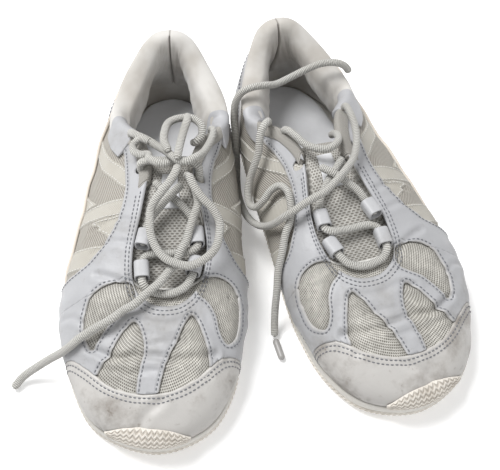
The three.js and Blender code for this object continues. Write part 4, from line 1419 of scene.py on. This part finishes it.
def add_tube(side, name, points, wide, tall, recipe, body="shoe", replaces=None, around=16):
    """A tube of elliptical section along a path, with rounded ends."""
    way = lengths_along(points)
    across_, up = sweep_frame(points)
    angle = np.linspace(0, TURN, around, endpoint=False)
    near = np.minimum(way, way[-1] - way) / (wide * 0.5)
    close = np.sqrt(np.clip(1 - (1 - np.clip(near, 0, 1)) ** 2, 0.04, 1))
    ring = (across_[:, None] * np.cos(angle)[None, :, None] * wide / 2
            + up[:, None] * np.sin(angle)[None, :, None] * tall / 2)
    p = points[:, None] + ring * close[:, None, None]
    cloth = np.zeros(p.shape)
    cloth[..., 0] = way[:, None]
    cloth[..., 1] = angle[None] / TURN
    first = np.arange(around)
    last = first[::-1] + (len(points) - 1) * around
    faces = grid_faces(len(points), around, wrap_columns=True).tolist()
    for tip, rim in enumerate((first, last)):
        centre = np.full(around, len(points) * around + tip)
        faces += np.stack([rim, np.roll(rim, -1), centre], -1).tolist()
    everything = np.vstack([p.reshape(-1, 3), points[:1], points[-1:]])
    cloth = np.vstack([cloth.reshape(-1, 3), [[0, 0, 0], [way[-1], 0, 0]]])
    piece = add_piece(side, f"{name}_piece", everything, faces, recipe, body, replaces,
                      edge=UNCUT, cloth=cloth)
    return piece, way[-1]


PIPE_LIES, PIPE_WIDE, SMOOTHINGS = 0.2, 2.0, 6


def piping():
    grid_a, grid_v = np.meshgrid(np.linspace(2.5, 9.5, 141), np.linspace(0.05, 0.99, 60))
    q = surface(grid_a, grid_v)
    path = []
    for t, z in smooth_line(PIPE[::6], step=1.2):
        best = np.hypot(q[..., 1] - t, q[..., 2] - z).argmin()
        path.append((grid_a.ravel()[best], grid_v.ravel()[best]))
    path = np.array(path)
    for _ in range(SMOOTHINGS):
        path[1:-1] = (path[:-2] + 2 * path[1:-1] + path[2:]) / 4
    points = inset(path[:, 0], path[:, 1], PIPE_LIES)
    for side in SIDES:
        length = add_tube(side, "piping", points, PIPE_WIDE, PIPE_WIDE, PIPING)[1]
    return length


print("piping:", round(piping()), "mm")

# %% [markdown]
# ## Tongue and label
# The tongue is mesh over thin foam, bound along its top.  It has been pushed down under the
# throat.  Its face is drawn between four curves under the throat's edges, so it always
# stays inside the opening, and two such faces make a slab.

# %% Tongue and label
TONGUE_DROP, TONGUE_CROWN, TONGUE_WING, TONGUE_THICK = 6.5, 1.5, 0.13, 5.0
TONGUE_MARKS = (0, 0.18, 0.82, 1.0001)
TONGUE_OUTER, TONGUE_INNER = (10.9, -4.1), (13.1, 4.2)


def tongue_face(x, s, depth):
    """x runs across from the inner side, s from the base to the free end."""
    x, s, depth = np.broadcast_arrays(x, s, depth)
    outer_a, inner_a = (base + slope * s for base, slope in (TONGUE_OUTER, TONGUE_INNER))
    wing = TONGUE_WING * (0.6 + 0.4 * s)
    back = TONGUE_DROP + depth
    ends = [inset(inner_a, 1 - wing, back), inset(inner_a, 1.0, back),
            inset(outer_a, 1.0, back), inset(outer_a, 1 - wing, back)]
    p = np.zeros(x.shape + (3,))
    for k, (low_mark, high_mark) in enumerate(zip(TONGUE_MARKS, TONGUE_MARKS[1:])):
        here = (x >= low_mark) & (x < high_mark)
        f = ((x - low_mark) / (high_mark - low_mark))[..., None]
        p = np.where(here[..., None], ends[k] * (1 - f) + ends[k + 1] * f, p)
    p[..., 2] += TONGUE_CROWN * np.sin(np.pi * x) * np.minimum(1, 2 * s)
    return p


def slab(name, x_range, s_range, top, thick, recipe, edge_round, cells=(60, 90)):
    """A soft-edged layer of the tongue, over a part of its width and length."""
    x, s = (np.linspace(0, 1, count + 1) for count in cells)
    x, s = np.meshgrid(x, s, indexing="ij")
    full = ((1 - np.abs(2 * x - 1) ** edge_round) * (1 - np.abs(2 * s - 1) ** edge_round)) ** 0.5
    at = [low + (high - low) * share
          for (low, high), share in ((x_range, x), (s_range, s))]
    front = tongue_face(*at, top + thick / 2 * (1 - full))
    back = tongue_face(*at, top + thick / 2 * (1 + full))
    faces = grid_faces(*x.shape)
    size = [np.linalg.norm(corner - front[0, 0]) for corner in (front[-1, 0], front[0, -1])]
    cloth = np.stack([x * size[0], s * size[1], 0 * x], -1)
    add_pair(f"{name}_piece", np.stack([front, back]), np.vstack([faces[:, ::-1], faces + x.size]),
             recipe, body="tongue_flap", replaces=name, edge=UNCUT,
             cloth=np.stack([cloth, cloth]))
    print(name, "size:", [round(float(side), 1) for side in size], "mm")


slab("tongue", (0, 1), (0, 1), 0, TONGUE_THICK, TONGUE_MESH, 14)
slab("tongue_label", (0.36, 0.64), (0.72, 0.92), -1.1, 0.8, LABEL, 20, cells=(24, 24))
top_path = tongue_face(np.linspace(0.02, 0.98, 70), 0.985, TONGUE_THICK / 2)
for side in SIDES:
    add_tube(side, "tongue_top_binding", top_path, 5.8, 4.2, BINDING, "tongue_flap")

# %% [markdown]
# ## Mesh at the throat's base
# A crescent of mesh under the lowest lace joins the two front windows, and its hem is a
# pale roll.  It is a grid from the throat's edge forwards, puffed up a little.

# %% Mesh at the throat's base
GUSSET_FIRST, GUSSET_LAST, GUSSET_REACH, GUSSET_PUFF = 9.7, 14.4, 13, 0.9
GUSSET_EDGE, GUSSET_DEPTH = 0.985, 1.5


def gusset():
    x, y = np.meshgrid(np.linspace(0, 1, 61), np.linspace(0, 1, 25), indexing="ij")
    arch = np.sin(np.pi * x)
    p = inset(GUSSET_FIRST + x * (GUSSET_LAST - GUSSET_FIRST), GUSSET_EDGE, GUSSET_DEPTH)
    p[..., 1] -= GUSSET_REACH * np.clip(arch, 0, 1) ** 0.7 * y
    puff = GUSSET_PUFF * np.sin(np.pi * y) * np.clip(arch, 0, 1) ** 0.5
    p[..., 2] += puff - 0.8 * y * arch + 0.15 * np.sin(p[..., 0] * 1.3 + 4 * y)
    add_pair("throat_gusset", p, grid_faces(*x.shape), MESH,
             edge=14 * np.minimum(np.minimum(y, 1 - y), 0.5),
             cloth=np.stack([p[..., 0], p[..., 1], 0 * x], -1))
    for side in SIDES:
        length = add_tube(side, "throat_gusset_hem", p[:, -1], 1.8, 1.5, PALE_THREAD)[1]
    return length


print("hem:", round(gusset()), "mm")

# %% [markdown]
# ## Lace loops
# Folded tapes along the throat carry the laces.  Each is a short flat ring: two rounded
# outlines, one inside the other, are stretched to the tape's width.  Its edges are left
# crisp, since cut tape has no soft edge.

# %% Lace loops
LOOP_WALL, LOOP_WIDTH, LOOP_START, LOOP_REACH = 0.9, 10.0, 1.2, 8.4
LOOP_PLAY, LOOP_BELOW = 0.8, 2.8
LOOP_SQUARENESS, LOOP_SOFT, LOOP_CHAMFER = 3.2, 0.25, 0.97
LOOPS = {"outer_loop_front": 9.55, "outer_loop_rear": 8.7,
         "inner_loop_front": 14.5, "inner_loop_rear": 15.35}


def lace_loop(name, a):
    edge = top_edge(a)
    forward = level_direction(top_edge, a, 0.05)
    over = np.array([-forward[1], forward[0], 0])
    high = LACE_DIAMETER + 2 * (LOOP_PLAY + LOOP_WALL)
    angle = np.linspace(0, TURN, 49)[:-1]
    ca, sa = np.cos(angle), np.sin(angle)
    stretch = (np.abs(ca) ** LOOP_SQUARENESS + np.abs(sa) ** LOOP_SQUARENESS)
    stretch = stretch[:, None] ** (-1 / LOOP_SQUARENESS)
    outer = np.stack([ca * LOOP_REACH / 2, sa * high / 2], -1) * stretch
    inner = np.stack([ca * (LOOP_REACH / 2 - LOOP_WALL), sa * (high / 2 - LOOP_WALL)], -1)
    inner *= stretch
    half = LOOP_WIDTH / 2
    rings = []
    for ring, along in (
        (inner, -half), (outer * LOOP_CHAMFER, -half), (outer, LOOP_SOFT - half),
        (outer, half - LOOP_SOFT), (outer * LOOP_CHAMFER, half), (inner, half),
    ):
        p = edge + over * (LOOP_START + LOOP_REACH / 2 + ring[:, :1]) + forward * along
        p[:, 2] = edge[2] + high / 2 - LOOP_BELOW + ring[:, 1]
        rings.append(p)
    faces = grid_faces(len(rings), len(angle), wrap_rows=True, wrap_columns=True)
    add_pair(f"{name}_piece", rings, faces, TAPE, replaces=name, edge=UNCUT, cloth=(0, 0, 0),
             smooth=False)


for name, a in LOOPS.items():
    lace_loop(name, a)
    print(name, "at station", a)

# %% [markdown]
# ## Laces
# A woven round lace, 4.4 mm thick.  A simulated rope would not fall as these do, so each
# run is a tube through listed points, in millimetres (w, t, z) in each shoe's own
# coordinates.  The held runs end where they go under the throat's edge.  The free ends are
# limp cords that lie on the shoe and the floor.

# %% Lace routes
SHARED = {
    "lace_lower": [
        [-21, 152.2, 51.4], [-20.1, 156.4, 51.4], [-18.9, 162.8, 51.4], [-15.5, 168.5, 49.8],
        [-9, 171.9, 48.7], [-1.9, 172.3, 48.5], [4.2, 171.2, 50.4], [7.4, 168, 52.6],
        [8.3, 160.8, 52.6], [8.8, 156.4, 52.7], [6.6, 152.2, 53.4], [1.5, 150.5, 53.7],
        [-5, 150.1, 53.6], [-12.1, 149.9, 54.5], [-17.9, 149.5, 56.4], [-21.2, 146.9, 57],
        [-20.7, 141, 57], [-19.9, 134.6, 57.3], [-16.5, 128.5, 59.9], [-10, 122, 62.3],
        [-1, 114.5, 63.8], [4.5, 110, 65],
    ],
    "lace_upper": [
        [8.6, 148.2, 58.3], [8, 144, 58.3], [7, 137.6, 58.5], [4.6, 131.9, 61.3],
        [-0.1, 126.3, 64.4], [-6.1, 119.9, 67.4], [-12, 113.5, 68.2],
    ],
}
RIGHT = {
    "lace_bar": [
        [12.5, 101, 61], [12.5, 101, 66], [11.8, 101, 70], [8, 100.8, 71.9], [2, 100.4, 71.9],
        [-4, 100.2, 71.8], [-11, 99.9, 72], [-17, 100.8, 71.9], [-20.5, 103.2, 70],
        [-21, 105, 66], [-21, 105, 61],
    ],
    "lace_tie": [
        [20, 76, 59], [20, 76, 64], [19, 78.6, 68.5], [15, 82.5, 71], [9, 86.5, 72.1],
        [3, 91.4, 73.2], [-2, 96.3, 75.5], [-6, 101.2, 77.4], [-10.1, 104.6, 78],
        [-14.1, 105.1, 78.3], [-18.6, 102.3, 77.9], [-22.5, 96.9, 75], [-25.5, 89, 72],
        [-27.5, 81, 70], [-27.8, 75.5, 68.5], [-26.5, 71.5, 64], [-26.5, 71.5, 59],
    ],
    "lace_bow": [
        [-9.8, 109.1, 80.3], [-8.4, 114.3, 80.1], [-5.5, 119.6, 78.5], [-1, 124.5, 75.5],
        [4, 131, 70], [4.5, 139, 68], [3.5, 146, 65], [0.5, 152, 62.5], [-4, 157, 61.1],
        [-11, 160.1, 60.1], [-18, 161, 60], [-25, 158, 61], [-31, 152, 62.5],
        [-33, 146, 64.5], [-33, 137, 67], [-29, 131, 71], [-24, 127, 74],
        [-19, 121.5, 77.5], [-15.5, 115, 80.5],
    ],
    "lace_end": [
        [-13, 108.5, 72], [-17, 113.5, 71.5], [-20, 121, 70.5], [-21, 127, 68.5],
        [-19, 133, 66], [-17, 140, 63.7], [-15.4, 146.1, 61.4], [-12.8, 151.2, 59.6],
        [-9.9, 157.2, 55.9], [-6.1, 162.7, 55], [-2.2, 168.9, 55.1], [4.8, 175.5, 54],
        [10.9, 181.2, 52.4], [17, 184.1, 50.1], [22, 188, 49], [31, 192, 45], [40, 196, 40],
        [45, 198, 35], [51, 199, 28], [58, 199, 20], [65, 200, 13], [75, 204, 5.5],
        [80, 210, 3],
    ],
}
KNOT = {
    "knot_small_loop": [
        [7, 89, 74], [13, 86, 72.5], [17, 88.5, 70], [16.5, 93, 70], [12, 96, 71], [8, 97, 72.5],
        [7, 100.5, 74], [3, 104, 75.5], [-1, 105, 75.5], [-5, 104, 75],
    ],
    "knot_top_loop": [
        [-4, 100, 80], [-1, 92, 79.5], [-1, 84, 78.5], [-3, 77, 77], [-9, 73, 76], [-16, 73, 76],
        [-21, 77, 75], [-21.5, 82, 72.5], [-18.5, 85, 70], [-16, 83, 66],
    ],
    "knot_strand": [
        [-9, 106, 81.5], [-10, 97, 81.5], [-11.5, 86, 80], [-13, 78, 79.5], [-13, 72, 76],
        [-12, 67, 70],
    ],
}
LEFT = {
    "lace_cross": [
        [-20.5, 81.5, 61], [-20.5, 81.5, 66], [-19.5, 85, 69.5], [-17.5, 91, 71],
        [-14.5, 98.5, 71.2], [-10, 103, 71.2], [-4.5, 105.5, 71.2], [0.9, 104.5, 71.2],
        [5, 101, 70.3], [6.7, 95.9, 67.6], [7.4, 90.9, 62.5], [7.6, 87, 56.5],
    ],
    "lace_end_inner": [
        [-26.5, 71.5, 59], [-26.5, 71.5, 64], [-28, 74, 68.5], [-31.5, 77, 70],
        [-35, 80.5, 67.5], [-38.5, 87, 59], [-42, 90, 52], [-45.5, 93, 44], [-48.5, 98, 38],
        [-49.8, 105, 36.5], [-48, 110.5, 40.5], [-44, 111.5, 47], [-38.8, 110, 53],
        [-34.4, 111.5, 56.9], [-32.4, 117, 58.5], [-33.2, 125, 56.4], [-36.6, 133.1, 52.9],
        [-41.1, 138.2, 48.7], [-45.4, 145.1, 42.9], [-50.2, 152, 35], [-53.2, 159, 26],
        [-56.1, 165, 15], [-58, 170, 7.5], [-60, 176, 3],
    ],
    "lace_end_outer": [
        [20, 76, 59], [20, 76, 64], [19.6, 79, 69], [18.5, 87, 72], [17, 97, 72],
        [14, 106, 71.1], [8.1, 115.6, 70.4], [0.2, 122.3, 71], [-7.9, 127.3, 70.4],
        [-16, 131.1, 68.9], [-22, 132, 67.7], [-28.1, 132.5, 65.7], [-33.9, 133, 62.4],
        [-39.3, 131.9, 57.1], [-44.3, 129.3, 48.5], [-47.8, 123.9, 39.2],
        [-49.6, 115, 29.5], [-50, 103, 20], [-49, 90, 13.5], [-47, 78, 10.5],
        [-44.5, 69.1, 11], [-42.4, 62.9, 17.1], [-41.7, 59.8, 26.3], [-40.7, 54.9, 38.4],
        [-39.9, 49.9, 50.2], [-38.3, 47.6, 60], [-34.5, 47.5, 67.5], [-28.5, 48.5, 71],
        [-21, 49, 70.5], [-13, 48, 67.5], [-3, 46, 67.5], [7, 45, 69.5], [17, 45, 71.5],
        [26, 46.5, 71], [32.5, 47, 66.5], [37, 46.5, 59],
    ],
}
AGLET_ROUTE = [[-60.2, 177.2, 2.9], [-60.6, 184, 2.7], [-61, 191, 2.7]]
FREE = {"lace_bow": "knot", "lace_end": "bare", "lace_end_inner": "fitting",
        "lace_end_outer": "object"}
print("lace runs:", 2 * len(SHARED) + len(RIGHT) + len(LEFT), "and knot loops:", len(KNOT))

# %% Laces
LACE_WIDE, LACE_TALL, LACE_AROUND, LACE_STEP = 4.6, 4.2, 18, 0.7


def lace_tube(side, name, route, replaces=None):
    path = smooth_line(route, step=LACE_STEP)
    piece, length = add_tube(side, name, path, LACE_WIDE, LACE_TALL, LACE, replaces=replaces,
                             around=LACE_AROUND)
    return piece, length, place(side, path)


for name, route in KNOT.items():
    lace_tube("right", name, route)
aglet, _ = add_tube("left", "aglet", smooth_line(AGLET_ROUTE, step=LACE_STEP), 4.0, 3.8,
                    AGLET, replaces="aglet")
for side, own in (("right", RIGHT), ("left", LEFT)):
    for name, route in {**SHARED, **own}.items():
        piece, length, line = lace_tube(side, name, route, replaces=name)
        if name in FREE:
            fittings = [aglet] if name == "lace_end_inner" else []
        print(side, name, round(length), "mm")

# %% [markdown]
# ## Floor and light
# A plain pale floor, a soft light from the back left and a weaker one from the front right.
# The world adds light from everywhere, as a white room does.  The Standard view keeps
# whites as they are, where a film-like view would grey them.

# %% Floor and light
FLOOR_HALF = 4.0
KEY_POWER, FILL_POWER, WORLD_STRENGTH = 16.5, 4, 0.47
floor_mesh = bpy.data.meshes.new("floor")
corners = [(x * FLOOR_HALF, y * FLOOR_HALF, 0) for x, y in ((-1, -1), (1, -1), (1, 1), (-1, 1))]
floor_mesh.from_pydata(corners, [], [(0, 1, 2, 3)])
floor = bpy.data.objects.new("floor", floor_mesh)
bpy.context.scene.collection.objects.link(floor)
paper = Recipe("floor_paper", "")
paper.finish((0.93, 0.93, 0.93, 1), 0.9, Emission_Color=(1, 1, 1, 1), Emission_Strength=0.22)
floor_mesh.materials.append(paper.material)


def soft_light(name, at, size, power):
    """A square light that faces the shoes."""
    data = bpy.data.lights.new(name, "AREA")
    data.size = size
    data.energy = power
    light = bpy.data.objects.new(name, data)
    bpy.context.scene.collection.objects.link(light)
    light.location = at
    light.rotation_euler = (-Vector(at)).to_track_quat("-Z", "Y").to_euler()


soft_light("key", (-0.5, 0.25, 1.15), 0.55, KEY_POWER)
soft_light("fill", (0.9, -0.6, 1.0), 1.2, FILL_POWER)
world = bpy.data.worlds.new("world")
bpy.context.scene.world = world
world.use_nodes = True
background = world.node_tree.nodes["Background"]
background.inputs["Color"].default_value = (1, 1, 1, 1)
background.inputs["Strength"].default_value = WORLD_STRENGTH
bpy.context.scene.view_settings.view_transform = "Standard"
print("lights:", len(bpy.data.lights))
